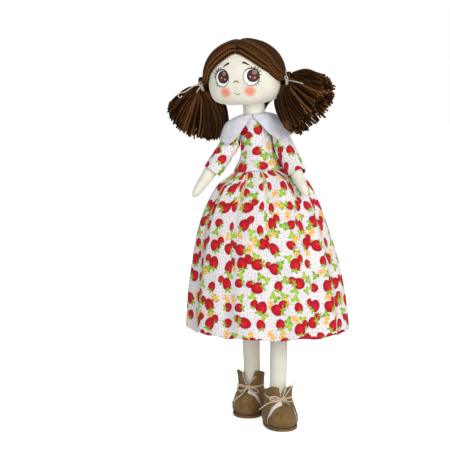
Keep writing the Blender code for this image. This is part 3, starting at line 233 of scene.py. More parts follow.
# Skirt: rows and columns of its grid, and how far down each kind of crease reaches
SKIRT_ROWS, SKIRT_COLUMNS, CREASE_LENGTHS = 92, 330, (0.05, 0.11, 0.24)

# Weave and print, in metres of cloth: pitches of the scatters, sizes, and shifts of the scatters
BODY_WEAVE, DRESS_WEAVE = 0.00042, 0.00036
BERRY_PITCH, BERRY_SPREAD, SEED_PITCH, DOT_PITCH = 0.0226, 0.40, 0.00135, 0.0040
LEAF_PITCH, LEAF_SIZE, LEAF_SCATTERS = 0.0205, 0.0054, ((0.37, 0.11), (0.913, 0.447))
FLOWER_PITCH, FLOWER_SCATTER, FLOWERS = 0.0190, (0.73, 0.59), (((0.0, 0.0), 0.0038), ((1.2, 1.05), 0.0030))
# Berries: shift, chances from and to, size. A small one lies beside two in three of the large ones
LARGE_BERRY = 0.0076
BERRIES = (((0.0074, -0.0062), 0.00, 0.34, 0.0051), ((-0.0088, -0.0042), 0.34, 0.66, 0.0049),
           ((0.0, 0.0), 0.0, 1.0, LARGE_BERRY))

# Face, in millimetres of the head's frame
CHEEKS, CHEEK_RADIUS = ((-15.4, 16.3), (13.4, 16.1)), 7.4
EYES = {
    "right": {"centre": (-18.2, 32.4), "half": (8.5, 9.7), "iris": (-16.7, 33.5), "radii": (6.7, 7.3), "tilt": 2,
              "disc": (-15.2, 37.3, 2.1), "sparks": ((-18.9, 32.8, 1.3), (-14.5, 30.9, 1.25))},
    "left": {"centre": (16.0, 32.1), "half": (8.8, 9.7), "iris": (18.1, 33.2), "radii": (6.7, 7.2), "tilt": -2,
             "disc": (20.1, 37.0, 2.4), "sparks": ((15.2, 32.2, 1.35), (20.0, 30.8, 1.3))},
}
# Lashes: place round the eye in degrees, length and width
LASHES = ((84, 3.2, 1.0), (64, 4.4, 1.2), (45, 4.9, 1.3), (27, 4.8, 1.3), (9, 3.6, 1.1), (-30, 3.2, 1.0),
          (-46, 3.6, 1.05), (-61, 2.8, 0.9))
# Strokes: paint, points along it, what it runs through, and widths
FACE_STROKES = (
    ("brow_right", "face_line", 14, [(-16.9, 44.4), (-14.2, 46.3), (-11.4, 47.9), (-8.8, 48.9)],
     (0.5, 1.5, 2.3, 2.2)),
    ("brow_left", "face_line", 14, [(15.2, 44.7), (12.2, 46.5), (9.4, 48.0), (6.6, 49.0)], (0.5, 1.5, 2.3, 2.2)),
    ("nose", "soft_line", 22, [(-4.6, 26.0), (-3.6, 27.7), (-1.6, 28.3), (0.5, 27.6), (1.7, 25.8)],
     (0.7, 1.25, 1.4, 1.25, 0.7)),
    ("mouth", "soft_line", 22, [(-4.9, 15.6), (-3.4, 13.7), (-1.2, 12.9), (1.0, 13.6), (2.6, 15.3)],
     (0.4, 0.8, 0.85, 0.8, 0.4)))
# Paints: inner and outer colour, and roughness
PAINTS = {
    # The eye white greys from its middle to its rim: painted shade.
    "eye_white": ((246, 246, 246), (224, 224, 230), 0.5),
    "iris_brown": ((62, 22, 20), (10, 5, 7), 0.4),
    "face_line": ((34, 28, 32), (34, 28, 32), 0.55),
    "soft_line": ((98, 84, 82), (98, 84, 82), 0.6),
    "eye_shine": ((126, 86, 86), (196, 162, 162), 0.45),
    "eye_spark": ((226, 178, 170), (150, 84, 78), 0.45),
    "iris_glow": ((88, 38, 34), (66, 24, 22), 0.4),
}

# Studio: lamps with their place, size and power, and the camera that matches the photograph
WHITE, WORLD_LIGHT, FLOOR_GLOW, LAMP_AIM = (1, 1, 1, 1), 0.42, 0.66, Vector((0, 0, 0.23))
LAMPS = {
    "key": ((0.95, -1.25, 0.95), 0.9, 15.5),
    "fill": ((-1.3, -0.9, 0.7), 1.3, 3.6),
    "low": ((0.7, -1.4, 0.16), 0.8, 6.0),
    "back": ((0.3, 1.3, 1.1), 1.0, 6.0),
}
CAMERA_LENS, CAMERA_FAR, CAMERA_HEIGHT = 103.12, 1.5, 0.440
CAMERA_AROUND, CAMERA_DOWN, CAMERA_ASIDE = 8, 7.895, 1.813


def turn(axis, degrees):
    """Rotation about X, Y or Z."""
    return Matrix.Rotation(math.radians(degrees), 4, axis)


def move(*by):
    """Translation."""
    return Matrix.Translation(by)


TORSO = move(*JOINTS["sit"]) @ turn("Y", TORSO_LEAN)
NECK = TORSO @ move(0, 0, TRUNK_HEIGHT + NECK_LENGTH - NECK_SEATED) @ turn("Z", HEAD_YAW)
HEAD = NECK @ move(HEAD_SIDE, -HEAD_FORWARD, 0) @ turn("Y", HEAD_ROLL)


def srgb(*values):
    """Linear colour of an sRGB one written from 0 to 255."""
    linear = [((v / 255 + 0.055) / 1.055) ** 2.4 if v > 10 else v / 255 / 12.92 for v in values]
    return (*linear, 1)


# ---------------------------------------------------------------- materials

class Wire:
    """One output of a node, with arithmetic."""

    def __init__(self, net, socket):
        self.net, self.socket = net, socket

    def __add__(self, other):
        return self.net.math("ADD", self, other)

    def __sub__(self, other):
        return self.net.math("SUBTRACT", self, other)

    def __rsub__(self, other):
        return self.net.math("SUBTRACT", other, self)

    def __mul__(self, other):
        return self.net.math("MULTIPLY", self, other)

    def __truediv__(self, other):
        return self.net.math("DIVIDE", self, other)

    __radd__, __rmul__ = __add__, __mul__

    def below(self, edge, soft):
        """One under the edge and zero over it, with a soft step."""
        ends = {"Value": self, "From Min": edge - soft, "From Max": edge + soft, "To Min": 1, "To Max": 0}
        return self.net.make("MapRange", ends, interpolation_type="SMOOTHSTEP")


class Net:
    """A tree of shader nodes and short ways to write it."""

    def __init__(self, tree):
        self.tree = tree

    def put(self, socket, value):
        if isinstance(value, Wire):
            self.tree.links.new(value.socket, socket)
        else:
            socket.default_value = value

    def node(self, kind, inputs=None, **settings):
        """New node with its settings and what goes into its inputs."""
        node = self.tree.nodes.new("ShaderNode" + kind)
        for key, value in settings.items():
            setattr(node, key, value)
        for key, value in (inputs or {}).items():
            self.put(node.inputs[key], value)
        return node

    def make(self, kind, inputs=None, out=0, **settings):
        """One output of a new node."""
        return Wire(self, self.node(kind, inputs, **settings).outputs[out])

    def math(self, operation, *values):
        return self.make("Math", dict(enumerate(values)), operation=operation)

    def split(self, vector):
        return [Wire(self, out) for out in self.node("SeparateXYZ", {0: vector}).outputs]

    def join(self, x, y, z=0.0):
        return self.make("CombineXYZ", {0: x, 1: y, 2: z})

    def noise(self, vector, scale, detail=2.0, rough=0.5):
        return self.make("TexNoise", {"Vector": vector, "Scale": scale, "Detail": detail, "Roughness": rough}, "Fac")

    def cells(self, vector, scale, randomness):
        """Distance to the nearest scattered point, its random colour parts and its place."""
        ends = {"Vector": vector, "Scale": scale, "Randomness": randomness}
        node = self.node("TexVoronoi", ends, voronoi_dimensions="2D")
        distance, colour, place = (Wire(self, node.outputs[key]) for key in ("Distance", "Color", "Position"))
        return distance, self.split(colour), place

    def mix(self, factor, one, other):
        return self.make("Mix", {0: factor, 6: one, 7: other}, 2, data_type="RGBA")

    def ramp(self, value, *stops):
        node = self.node("ValToRGB", {0: value})
        elements = node.color_ramp.elements
        while len(elements) < len(stops):
            elements.new(0.5)
        for element, (place, colour) in zip(elements, stops):
            element.position, element.color = place, colour
        return Wire(self, node.outputs[0])


class Finish(Net):
    """A material with its shader, and the slot that it stands for."""

    def __init__(self, name, colour, roughness, sheen, slot, specular=0.25):
        self.material = bpy.data.materials.new(name)
        self.material.use_nodes = True
        self.material.diffuse_color = colour
        self.slot = slot
        super().__init__(self.material.node_tree)
        self.shader = self.tree.nodes["Principled BSDF"]
        values = {"Base Color": colour, "Roughness": roughness, "Sheen Weight": sheen, "Sheen Roughness": 0.5,
                  "Specular IOR Level": specular}
        for key, value in values.items():
            self.put(self.shader.inputs[key], value)

    def coords(self, which="UV"):
        return self.make("TexCoord", out=which)

    def finish(self, colour, height, depth, strength, rough=None):
        """Link the colour, the bump height in shares of its depth, and the roughness."""
        self.put(self.shader.inputs["Base Color"], colour)
        if rough:
            self.put(self.shader.inputs["Roughness"], rough)
        bump = self.make("Bump", {"Strength": strength, "Distance": depth, "Height": height})
        self.put(self.shader.inputs["Normal"], bump)
        return self


def weave(net, u, v, pitch):
    """Over and under of a plain weave, from 0 to 1."""
    wave = net.math("SINE", u * (math.tau / pitch)) * net.math("SINE", v * (math.tau / pitch))
    return wave * 0.5 + 0.5


def cream_cotton():
    """Plain woven cotton of the body, with its rouge on the cheeks."""
    net = Finish("cream_cotton", srgb(229, 226, 210), 0.88, 0.12, "cream_cloth")
    at = net.coords("Object")
    u, v, _ = net.split(net.coords())
    threads = weave(net, u, v, BODY_WEAVE)
    cloudy = net.noise(at, 60, 3)
    slub = net.noise(net.join(u * 90, v * 2500), 1, 2)
    base = net.ramp(cloudy * 0.75 + slub * 0.25,
                    (0.25, srgb(217, 213, 194)), (0.5, srgb(230, 227, 211)), (0.8, srgb(238, 235, 221)))
    base = net.mix(threads * 0.10, base, srgb(196, 190, 163))
    for cheek in CHEEKS:
        far = net.make("VectorMath", {0: at, 1: face_point(*cheek, 0)[0]}, "Value", operation="DISTANCE")
        rouge = far.below(CHEEK_RADIUS * 0.80 * MM, CHEEK_RADIUS * 0.46 * MM)
        rouge = rouge * (0.88 + net.noise(at, 900, 2) * 0.16) * (1.0 - threads * 0.12)
        base = net.mix(rouge * 0.92, base, srgb(233, 120, 80))
    return net.finish(base, threads * 0.7 + net.noise(at, 1400, 2) * 0.5, 0.00006, 0.6)


def printed_cotton():
    """White cotton with a scatter of berries, leaves, small flowers and dots."""
    net = Finish("printed_cotton", srgb(236, 233, 238), 0.9, 0.03, "printed_cotton", 0.1)
    flat = net.coords()
    u, v, _ = net.split(flat)
    white = net.ramp(net.noise(flat, 40, 3), (0.3, srgb(222, 216, 219)), (0.7, srgb(237, 232, 231)))

    def local(place, chance, size, spin, lift=(0, 0)):
        """Place in one motif's own frame, in units of its size."""
        px, py, _ = net.split(place)
        dx, dy = (u - px) / size, (v - py) / size
        angle = (chance - 0.5) * spin
        cos, sin = net.math("COSINE", angle), net.math("SINE", angle)
        return dx * cos + dy * sin - lift[0], dy * cos - dx * sin - lift[1]

    def radius(p, q):
        return net.math("SQRT", p * p + q * q)

    def star(p, q, points, depth):
        """Radius divided by a lobed outline."""
        lobes = net.math("COSINE", net.math("ARCTAN2", q, p) * float(points))
        return radius(p, q) / (1.0 + lobes * depth)

    def nearest(shift, scale, randomness):
        """Nearest motif of one scatter: its chances and its place."""
        _, chance, place = net.cells(net.join(u - shift[0], v - shift[1]), scale, randomness)
        px, py, _ = net.split(place)
        return chance, net.join(px + shift[0], py + shift[1])

    def free(place, reach, chance, least):
        """One for most of the places that no berry is near."""
        clear = 1.0 - net.cells(place, 1 / BERRY_PITCH, BERRY_SPREAD)[0].below(reach, 0.015)
        return net.math("MINIMUM", net.math("MAXIMUM", clear * (chance - least) * 40.0, 0.0), 1.0)

    # dots
    near = net.cells(flat, 1 / DOT_PITCH, 0.55)[0]
    colour = net.mix(near.below(0.125, 0.035) * 0.78, white, srgb(58, 62, 84))
    # leaf sprigs
    for shift in LEAF_SCATTERS:
        chance, place = nearest(shift, 1 / LEAF_PITCH, 0.75)
        seen = free(place, 0.44, chance[1], 0.10)
        p, q = local(place, chance[0], LEAF_SIZE, 6.2)
        leaf = star(p, q, 3, 0.42)
        edge = net.math("SINE", net.math("ARCTAN2", q, p) * 21.0) * 0.05
        green = net.mix(chance[2], srgb(108, 158, 26), srgb(160, 196, 40))
        green = net.mix(leaf.below(0.34, 0.16) * 0.55, green, srgb(206, 220, 96))
        colour = net.mix((leaf + edge).below(0.74, 0.07) * seen, colour, green)
    # flowers
    chance, place = nearest(FLOWER_SCATTER, 1 / FLOWER_PITCH, 0.7)
    seen = free(place, 0.42, chance[1], 0.12)
    for lift, size in FLOWERS:
        p, q = local(place, chance[0], size, 6.2, lift)
        petals = star(p, q, 5, 0.30)
        tint = net.mix(petals.below(0.66, 0.16), srgb(232, 148, 52), srgb(250, 214, 120))
        colour = net.mix(petals.below(0.88, 0.08) * seen, colour, tint)
        colour = net.mix(radius(p, q).below(0.26, 0.08) * seen, colour, srgb(206, 110, 34))
    # berries
    for shift, least, most, size in BERRIES:
        chance, place = nearest(shift, 1 / BERRY_PITCH, BERRY_SPREAD)
        seen = net.math("GREATER_THAN", chance[2], least - 0.01) * net.math("LESS_THAN", chance[2], most + 0.01)
        if size == LARGE_BERRY:
            size = net.math("GREATER_THAN", chance[2], 0.67) * -0.0016 + size
        p, q = local(place, chance[0], size, 3.8)
        egg = net.math("SQRT", (p * p) * (1.22 - q * 0.46) + q * q)
        leaves = star(p, (q - 0.84) * 1.5, 5, 0.45)
        colour = net.mix(leaves.below(0.62, 0.10) * seen, colour, srgb(118, 160, 34))
        body = net.ramp(egg, (0.0, srgb(202, 4, 34)), (0.62, srgb(186, 0, 28)), (0.94, srgb(130, 0, 20)))
        seeds = net.cells(flat, 1 / SEED_PITCH, 0.5)[0].below(0.16, 0.07)
        body = net.mix(seeds * 0.36, body, srgb(236, 92, 70))
        shine = radius(p - 0.30, q - 0.22).below(0.30, 0.22)
        body = net.mix(shine * 0.24, body, srgb(244, 66, 70))
        colour = net.mix(egg.below(0.95, 0.05) * seen, colour, body)
        cap = star(p, (q - 0.90) * 1.7, 5, 0.5).below(0.40, 0.10)
        colour = net.mix(cap * seen, colour, srgb(150, 184, 48))
    threads = weave(net, u, v, DRESS_WEAVE)
    colour = net.mix(threads * 0.07, colour, srgb(120, 116, 130))
    return net.finish(colour, threads + net.noise(flat, 900, 2) * 0.5, 0.00005, 0.55)


def yarn():
    """Plied brown yarn: around and along each strand."""
    net = Finish("brown_yarn", srgb(60, 36, 17), 0.85, 0.0, "brown_yarn", 0.06)
    u, v, _ = net.split(net.coords())
    strand = net.math("FLOOR", u)
    around = u - strand
    tone = net.make("TexWhiteNoise", {"W": strand}, "Value", noise_dimensions="1D")
    ply = net.math("SINE", (around * 2.0 + v * 420.0) * math.tau) * 0.5 + 0.5
    fibre = net.noise(net.join(strand * 3.7, around * 9.0 + v * 1500.0, v * 260.0), 1.0, 3)
    # The ply term lightens the crests of the twist and darkens its grooves: painted shade; tone and fibre are the
    # yarn's own variation.
    colour = net.ramp(tone * 0.50 + ply * 0.22 + fibre * 0.42, (0.30, srgb(18, 8, 3)), (0.50, srgb(50, 28, 12)),
                      (0.66, srgb(78, 48, 21)), (0.86, srgb(126, 85, 43)))
    return net.finish(colour, ply * 0.8 + fibre * 0.9, 0.00028, 0.8)


def felt(name, slot, dark, plain, pale, fuzz):
    """Pressed wool felt with a mottled nap."""
    net = Finish(name, srgb(*plain), 0.95, fuzz, slot)
    at = net.coords("Object")
    mottle = net.noise(at, 130, 4, 0.6)
    nap = net.noise(at, 1600, 3, 0.7)
    colour = net.ramp(mottle * 0.65 + nap * 0.35, (0.30, srgb(*dark)), (0.5, srgb(*plain)), (0.72, srgb(*pale)))
    return net.finish(colour, nap * 0.8 + net.noise(at, 500, 2) * 0.7, 0.00022, 0.7)


def twisted(name, dark, pale):
    """Thin twisted twine or thread."""
    net = Finish(name, srgb(*pale), 0.8, 0.1, "twine")
    u, v, _ = net.split(net.coords())
    ply = net.math("SINE", (u * 2.0 + v * 520.0) * math.tau) * 0.5 + 0.5
    fibre = net.noise(net.join(u * 6.0, v * 900.0), 1.0, 3)
    # The ply term darkens the grooves of the twist: painted shade in the grooves.
    colour = net.mix(ply * 0.6 + fibre * 0.4, srgb(*dark), srgb(*pale))
    return net.finish(colour, ply + fibre * 0.4, 0.00018, 0.8)


def wood():
    """Turned hardwood with its grain."""
    net = Finish("wood_grain", srgb(190, 150, 105), 0.55, 0, "wood")
    x, y, z = net.split(net.coords("Object"))
    rings = net.math("SINE", net.noise(net.join(x * 8.0, y * 8.0, z * 0.6), 60, 3) * 40.0)
    return net.finish(net.mix(rings * 0.5 + 0.5, srgb(168, 124, 80), srgb(205, 168, 124)), rings, 0.00004, 0.4)


def plastic():
    """Moulded button plastic with small marks."""
    net = Finish("button_plastic", srgb(228, 224, 214), 0.35, 0, "button_plastic", 0.5)
    at = net.coords("Object")
    marks = net.noise(at, 2200, 3)
    colour = net.ramp(net.noise(at, 260, 2), (0.3, srgb(220, 214, 202)), (0.7, srgb(234, 230, 222)))
    return net.finish(colour, marks, 0.00002, 0.4, marks * 0.2 + 0.28)


def paint(name, inner, outer, rough):
    """Fabric paint on the face: inner to outer colour, with the weave showing through."""
    net = Finish(name, srgb(*inner), rough, 0, "cream_cloth", 0.12)
    at = net.coords("Object")
    x, _, z = net.split(at)
    u, _, _ = net.split(net.coords())
    threads = weave(net, x, z, BODY_WEAVE)
    inner, outer = srgb(*inner), srgb(*outer)
    colour = net.ramp(u + (net.noise(at, 700, 3) - 0.5) * 0.25, (0.0, inner), (0.62, inner), (1.0, outer))
    return net.finish(net.mix(threads * 0.08, colour, srgb(170, 160, 140)), threads, 0.00005, 0.5)


# ---------------------------------------------------------------- mesh tools

def circle(count):
    """Evenly spaced angles once round."""
    return np.linspace(0, math.tau, count, endpoint=False)


def taper(count, places, values):
    """Values at evenly spaced points along a strand or stroke."""
    return np.interp(np.linspace(0, 1, count), places, values)


def directions(path, closed):
    """Unit direction of a path at each of its points."""
    along = np.roll(path, -1, axis=0) - np.roll(path, 1, axis=0) if closed else np.gradient(path, axis=0)
    return along / np.maximum(np.linalg.norm(along, axis=1, keepdims=True), 1e-12)


def run_of(path):
    """Distance along a path at each of its points."""
    return np.concatenate([[0], np.cumsum(np.linalg.norm(np.diff(path, axis=0), axis=1))])


def hermite(share, gap, low, high, start, end):
    """Cubic between two values, with a slope at each."""
    return ((1 + 2 * share) * (1 - share) ** 2 * low + share * (1 - share) ** 2 * gap * start
            + share ** 2 * (3 - 2 * share) * high + share ** 2 * (share - 1) * gap * end)


def smooth_rows(shares, count):
    """Dense rows through a table of shares: a monotone cubic through each column."""
    table = np.array(shares, float)
    table = table[np.argsort(table[:, 0])]
    steps = run_of(table[:, :3])
    wanted = np.linspace(0, steps[-1], count)
    return np.stack([cubic(wanted, steps, column) for column in table.T], axis=1)


def cubic(wanted, places, values):
    """Monotone cubic interpolation."""
    places, values = np.asarray(places, float), np.asarray(values, float)
    gaps = np.diff(places)
    slopes = np.diff(values) / gaps
    tangents = np.zeros(len(values))
    inner = slopes[:-1] * slopes[1:] > 0
    weights = (2 * gaps[1:] + gaps[:-1], gaps[1:] + 2 * gaps[:-1])
    with np.errstate(divide="ignore", invalid="ignore"):
        mean = (weights[0] + weights[1]) / (weights[0] / slopes[:-1] + weights[1] / slopes[1:])
    tangents[1:-1] = np.where(inner, mean, 0)
    tangents[0], tangents[-1] = slopes[0], slopes[-1]
    spot = np.clip(np.searchsorted(places, wanted, side="right") - 1, 0, len(gaps) - 1)
    share = (np.asarray(wanted) - places[spot]) / gaps[spot]
    return hermite(share, gaps[spot], values[spot], values[spot + 1], tangents[spot], tangents[spot + 1])


def ring(angles, square=2.0):
    """Cosine and sine of angles on a superellipse."""
    cos, sin = np.cos(angles), np.sin(angles)
    return np.sign(cos) * np.abs(cos) ** (2 / square), np.sign(sin) * np.abs(sin) ** (2 / square)


def place_grid(grid, matrix):
    """Grid of points moved by a matrix."""
    turned = np.array(matrix)
    return grid @ turned[:3, :3].T + turned[:3, 3]


def lengths(grid, closed):
    """Cloth coordinates of a grid in metres: round each row from its middle, and down the columns."""
    wide = np.concatenate([grid, grid[:, :1]], axis=1) if closed else grid
    across = np.array([run_of(row) for row in wide])
    across -= across[:, -1:] / 2
    down = np.concatenate([[0], np.cumsum(np.linalg.norm(np.diff(grid, axis=0), axis=2).mean(axis=1))])
    return np.stack([across, np.repeat(down[:, None], wide.shape[1], axis=1)], axis=2)


def quads(rows, columns, closed=True):
    """Faces of a grid of points, row by row."""
    return [(row * columns + column, row * columns + (column + 1) % columns,
             (row + 1) * columns + (column + 1) % columns, (row + 1) * columns + column)
            for row in range(rows - 1) for column in range(columns if closed else columns - 1)]


def new_mesh(name, verts, faces, loops):
    """Mesh with its cloth coordinates."""
    mesh = bpy.data.meshes.new(name)
    mesh.from_pydata([tuple(vert) for vert in verts], [], faces)
    mesh.uv_layers.new(name="UVMap").data.foreach_set("uv", np.array(loops, np.float32).ravel())
    return mesh


def add_object(name, data):
    """Object in the scene."""
    made = bpy.data.objects.new(name, data)
    bpy.context.scene.collection.objects.link(made)
    return made


def surface(name, grid, finish, body=None, closed=True, caps=False, uv=None, wall=0.0, cut=None, inside=True,
            stands_for=()):
    """Mesh over a grid of points, with cloth coordinates and an optional wall."""
    rows, columns = grid.shape[:2]
    uv = lengths(grid, closed) if uv is None else uv
    faces = quads(rows, columns, closed)
    loops = [np.stack([uv[:-1, :-1], uv[:-1, 1:], uv[1:, 1:], uv[1:, :-1]], axis=2).reshape(-1, 2)]
    if caps:
        for row, order in ((0, -1), (rows - 1, 1)):
            faces.append(tuple(range(row * columns, (row + 1) * columns))[::order])
            loops.append(uv[row, :columns][::order])
    mesh = new_mesh(name, grid.reshape(-1, 3), faces, np.concatenate(loops))
    if cut:
        bm = bmesh.new()
        bm.from_mesh(mesh)
        bmesh.ops.bisect_plane(bm, geom=bm.verts[:] + bm.edges[:] + bm.faces[:], plane_co=cut[0], plane_no=cut[1],
                               clear_inner=True)
        bm.to_mesh(mesh)
        bm.free()
    made = add_object(name, mesh)
    if wall:
        solid = made.modifiers.new("wall", "SOLIDIFY")
        solid.thickness, solid.offset, solid.use_even_offset = wall, -1 if inside else 1, True
        bpy.context.view_layer.update()
        thick = bpy.data.meshes.new_from_object(made.evaluated_get(bpy.context.evaluated_depsgraph_get()))
        made.modifiers.clear()
        made.data = thick
        thick.name = name
    return dress(made, finish, body, stands_for)


def dress(made, finish, body=None, stands_for=()):
    """Give a piece its material, shading, body and the nodes that it stands for."""
    made.data.materials.clear()
    made.data.materials.append(finish.material)
    made.data.shade_smooth()
    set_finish(made, finish.slot)
    if body:
        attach(made, body)
    if stands_for:
        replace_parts(made, *stands_for)
    return made


def loft(rows, count, square=2.0):
    """Grid of superelliptic sections from rows of height, half width, half depth and shifts."""
    cos, sin = ring(math.pi / 2 + circle(count), square)
    grid = np.zeros((len(rows), count, 3))
    for index, row in enumerate(rows):
        shift = row[3:5] if len(row) > 3 else (0, 0)
        grid[index] = np.stack([shift[0] + row[1] * cos, shift[1] + row[2] * sin, np.full(count, row[0])], axis=1)
    return grid


def wobble(grid, size, amount, seed):
    """Push a grid about by smooth noise, as stuffing does."""
    moved = grid.copy()
    flat = moved.reshape(-1, 3)
    for index, point in enumerate(flat):
        x, y, z = (point / size) + seed
        flat[index] += amount * np.array([
            math.sin(x * 1.7 + math.sin(z * 2.3) * 1.3 + y), math.sin(y * 1.9 + math.sin(x * 2.1) * 1.1 + z),
            0.4 * math.sin(z * 1.3 + x + y)])
    return moved


def unit(vector):
    """Vector of length one."""
    return vector / max(np.linalg.norm(vector), 1e-12)


def tubes(name, paths, radii, finish, body=None, sides=6, closed=False, stands_for=()):
    """One mesh of many round strands along their paths. Strand numbers go into the coordinates."""
    verts, faces, loops = [], [], []
    for number, path in enumerate(paths):
        path = np.asarray(path, float)
        count = len(path)
        radius = radii[number] if isinstance(radii, list) else radii
        radius = np.broadcast_to(np.asarray(radius, float), (count,))
        along = directions(path, closed)
        side = unit(np.cross(along[0], [0.31, 0.52, 0.79]))
        run = run_of(path)
        base = len(verts)
        for index in range(count):
            side = unit(side - along[index] * (side @ along[index]))
            other = np.cross(along[index], side)
            for step in range(sides):
                angle = math.tau * step / sides
                verts.append(path[index] + radius[index] * (side * math.cos(angle) + other * math.sin(angle)))
        for index in range(count if closed else count - 1):
            onward = (index + 1) % count
            start, end = run[index], run[onward] if onward else run[-1] + np.linalg.norm(path[0] - path[-1])
            for step in range(sides):
                after = (step + 1) % sides
                faces.append((base + index * sides + step, base + index * sides + after,
                              base + onward * sides + after, base + onward * sides + step))
                low, high = number + step / sides * 0.998, number + (step + 1) / sides * 0.998
                loops += [(low, start), (high, start), (high, end), (low, end)]
        if not closed:
            for index, order in ((0, -1), (count - 1, 1)):
                faces.append(tuple(base + index * sides + step for step in range(sides))[::order])
                loops += [(number + 0.5, run[index])] * sides
    return dress(add_object(name, new_mesh(name, verts, faces, loops)), finish, body, stands_for)


def spline(points, count):
    """Smooth path through a few points."""
    points = np.asarray(points, float)
    steps = np.concatenate([[0], np.cumsum(np.linalg.norm(np.diff(points, axis=0), axis=1) ** 0.5)])
    wanted = np.linspace(0, steps[-1], count)
    tangents = np.gradient(points, steps, axis=0)
    spot = np.clip(np.searchsorted(steps, wanted, side="right") - 1, 0, len(points) - 2)
    gap = (steps[spot + 1] - steps[spot])[:, None]
    share = ((wanted - steps[spot])[:, None]) / gap
    return hermite(share, gap, points[spot], points[spot + 1], tangents[spot], tangents[spot + 1])


def merge(name, pieces, body):
    """Join pieces into the first, under one name."""
    bm = bmesh.new()
    materials, replaced = [], set()
    for piece in pieces:
        first = len(bm.faces)
        mesh = piece.data.copy()
        mesh.transform(piece.matrix_world)
        bm.from_mesh(mesh)
        material = piece.data.materials[0]
        if material not in materials:
            materials.append(material)
        bm.faces.ensure_lookup_table()
        for face in bm.faces[first:]:
            face.material_index = materials.index(material)
        replaced |= set(piece.get("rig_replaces", []))
        bpy.data.meshes.remove(mesh)
    joined = bpy.data.meshes.new(name)
    bm.to_mesh(joined)
    bm.free()
    for material in materials:
        joined.materials.append(material)
    made = add_object(name, joined)
    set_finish(made, pieces[0]["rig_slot"])
    for piece in pieces:
        bpy.data.objects.remove(piece, do_unlink=True)
    if replaced:
        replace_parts(made, *sorted(replaced))
    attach(made, body)
    return made


def stitches(name, path, finish, body, pitch, length, radius, stands_for=()):
    """Row of short stitches along a path that lies on a surface."""
    path = np.asarray(path, float)
    run = run_of(path)
    made = []
    for start in np.arange(0, run[-1] - length, pitch):
        spots = np.linspace(start, start + length, 4)
        made.append(np.stack([np.interp(spots, run, path[:, axis]) for axis in range(3)], axis=1))
    return tubes(name, made, radius, finish, body, 5, stands_for=stands_for)


# ---------------------------------------------------------------- head and face

def head_grid(grown=0.0):
    """Surface of the stuffed head in its own frame."""
    return loft([(h * HEAD_HEIGHT + grown * (2 * h - 1), w * HEAD_WIDTH / 2 + grown, d * HEAD_DEPTH / 2 + grown)
                 for h, w, d in smooth_rows(HEAD_SHARES, 64)], 120, HEAD_SQUARE)


def tree_of(grid):
    """Search tree of a closed grid."""
    return BVHTree.FromPolygons([Vector(point) for point in grid.reshape(-1, 3)], quads(*grid.shape[:2]))


HEAD_TREE = tree_of(head_grid())


def face_point(across, up, lift):
    """World point on the front of the head, in millimetres of its frame, and the direction out of it."""
    spot, normal, _, _ = HEAD_TREE.ray_cast(Vector((across * MM, -0.1, up * MM)), Vector((0, 1, 0)))
    if spot is None:
        spot, normal, _, _ = HEAD_TREE.find_nearest(Vector((across * MM, -0.02, up * MM)))
    if normal.y > 0:
        normal = -normal
    return HEAD @ (spot + normal * lift), HEAD.to_3x3() @ normal


def flat_mesh(name, verts, faces, loops, look):
    """Thin layer of paint, facing outwards."""
    mesh = new_mesh(name, verts, faces, loops)
    out = HEAD.to_3x3() @ Vector((0, -1, 0))
    if sum(polygon.normal.dot(out) for polygon in mesh.polygons) < 0:
        mesh.flip_normals()
    return dress(add_object(name, mesh), look)


def patch(name, outline, centre, lift, look, rings):
    """Filled shape of paint on the face, from its outline in millimetres."""
    outline, centre = np.asarray(outline, float), np.asarray(centre, float)
    count = len(outline)
    verts = [face_point(*centre, lift)[0]]
    for level in range(1, rings + 1):
        verts += [face_point(*(centre + (point - centre) * level / rings), lift)[0] for point in outline]
    faces, loops = [], []
    for step in range(count):
        after = (step + 1) % count
        faces.append((0, 1 + step, 1 + after))
        loops += [(0, 0), (1 / rings, 0), (1 / rings, 0)]
        for level in range(1, rings):
            low, high = 1 + (level - 1) * count, 1 + level * count
            faces.append((low + step, high + step, high + after, low + after))
            loops += [(level / rings, 0), ((level + 1) / rings, 0), ((level + 1) / rings, 0), (level / rings, 0)]
    return flat_mesh(name, verts, faces, loops, look)


def stroke(name, points, widths, lift, look, count=22, closed=False):
    """Brush stroke of paint on the face, through points in millimetres."""
    if closed:
        path = np.asarray(points, float)
    else:
        path = spline([(*point, 0) for point in points], count)[:, :2]
        widths = taper(count, np.linspace(0, 1, len(widths)), widths)
    along = directions(path, closed)
    side = np.stack([-along[:, 1], along[:, 0]], axis=1)
    verts = [face_point(*(point + out * width / 2 * share), lift)[0]
             for point, out, width in zip(path, side, widths) for share in (-1, 0, 1)]
    total = len(path)
    faces = []
    for index in range(total if closed else total - 1):
        after = (index + 1) % total
        for part in (0, 1):
            faces.append((index * 3 + part, after * 3 + part, after * 3 + part + 1, index * 3 + part + 1))
    return flat_mesh(name, verts, faces, [(0.3, 0)] * 4 * len(faces), look)


def oval(centre, half, count, square=2.0, tilt=0.0):
    """Outline of an oval in millimetres."""
    cos, sin = ring(circle(count), square)
    x, y = half[0] * cos, half[1] * sin
    lean = math.radians(tilt)
    return np.stack([centre[0] + x * math.cos(lean) - y * math.sin(lean),
                     centre[1] + x * math.sin(lean) + y * math.cos(lean)], axis=1)


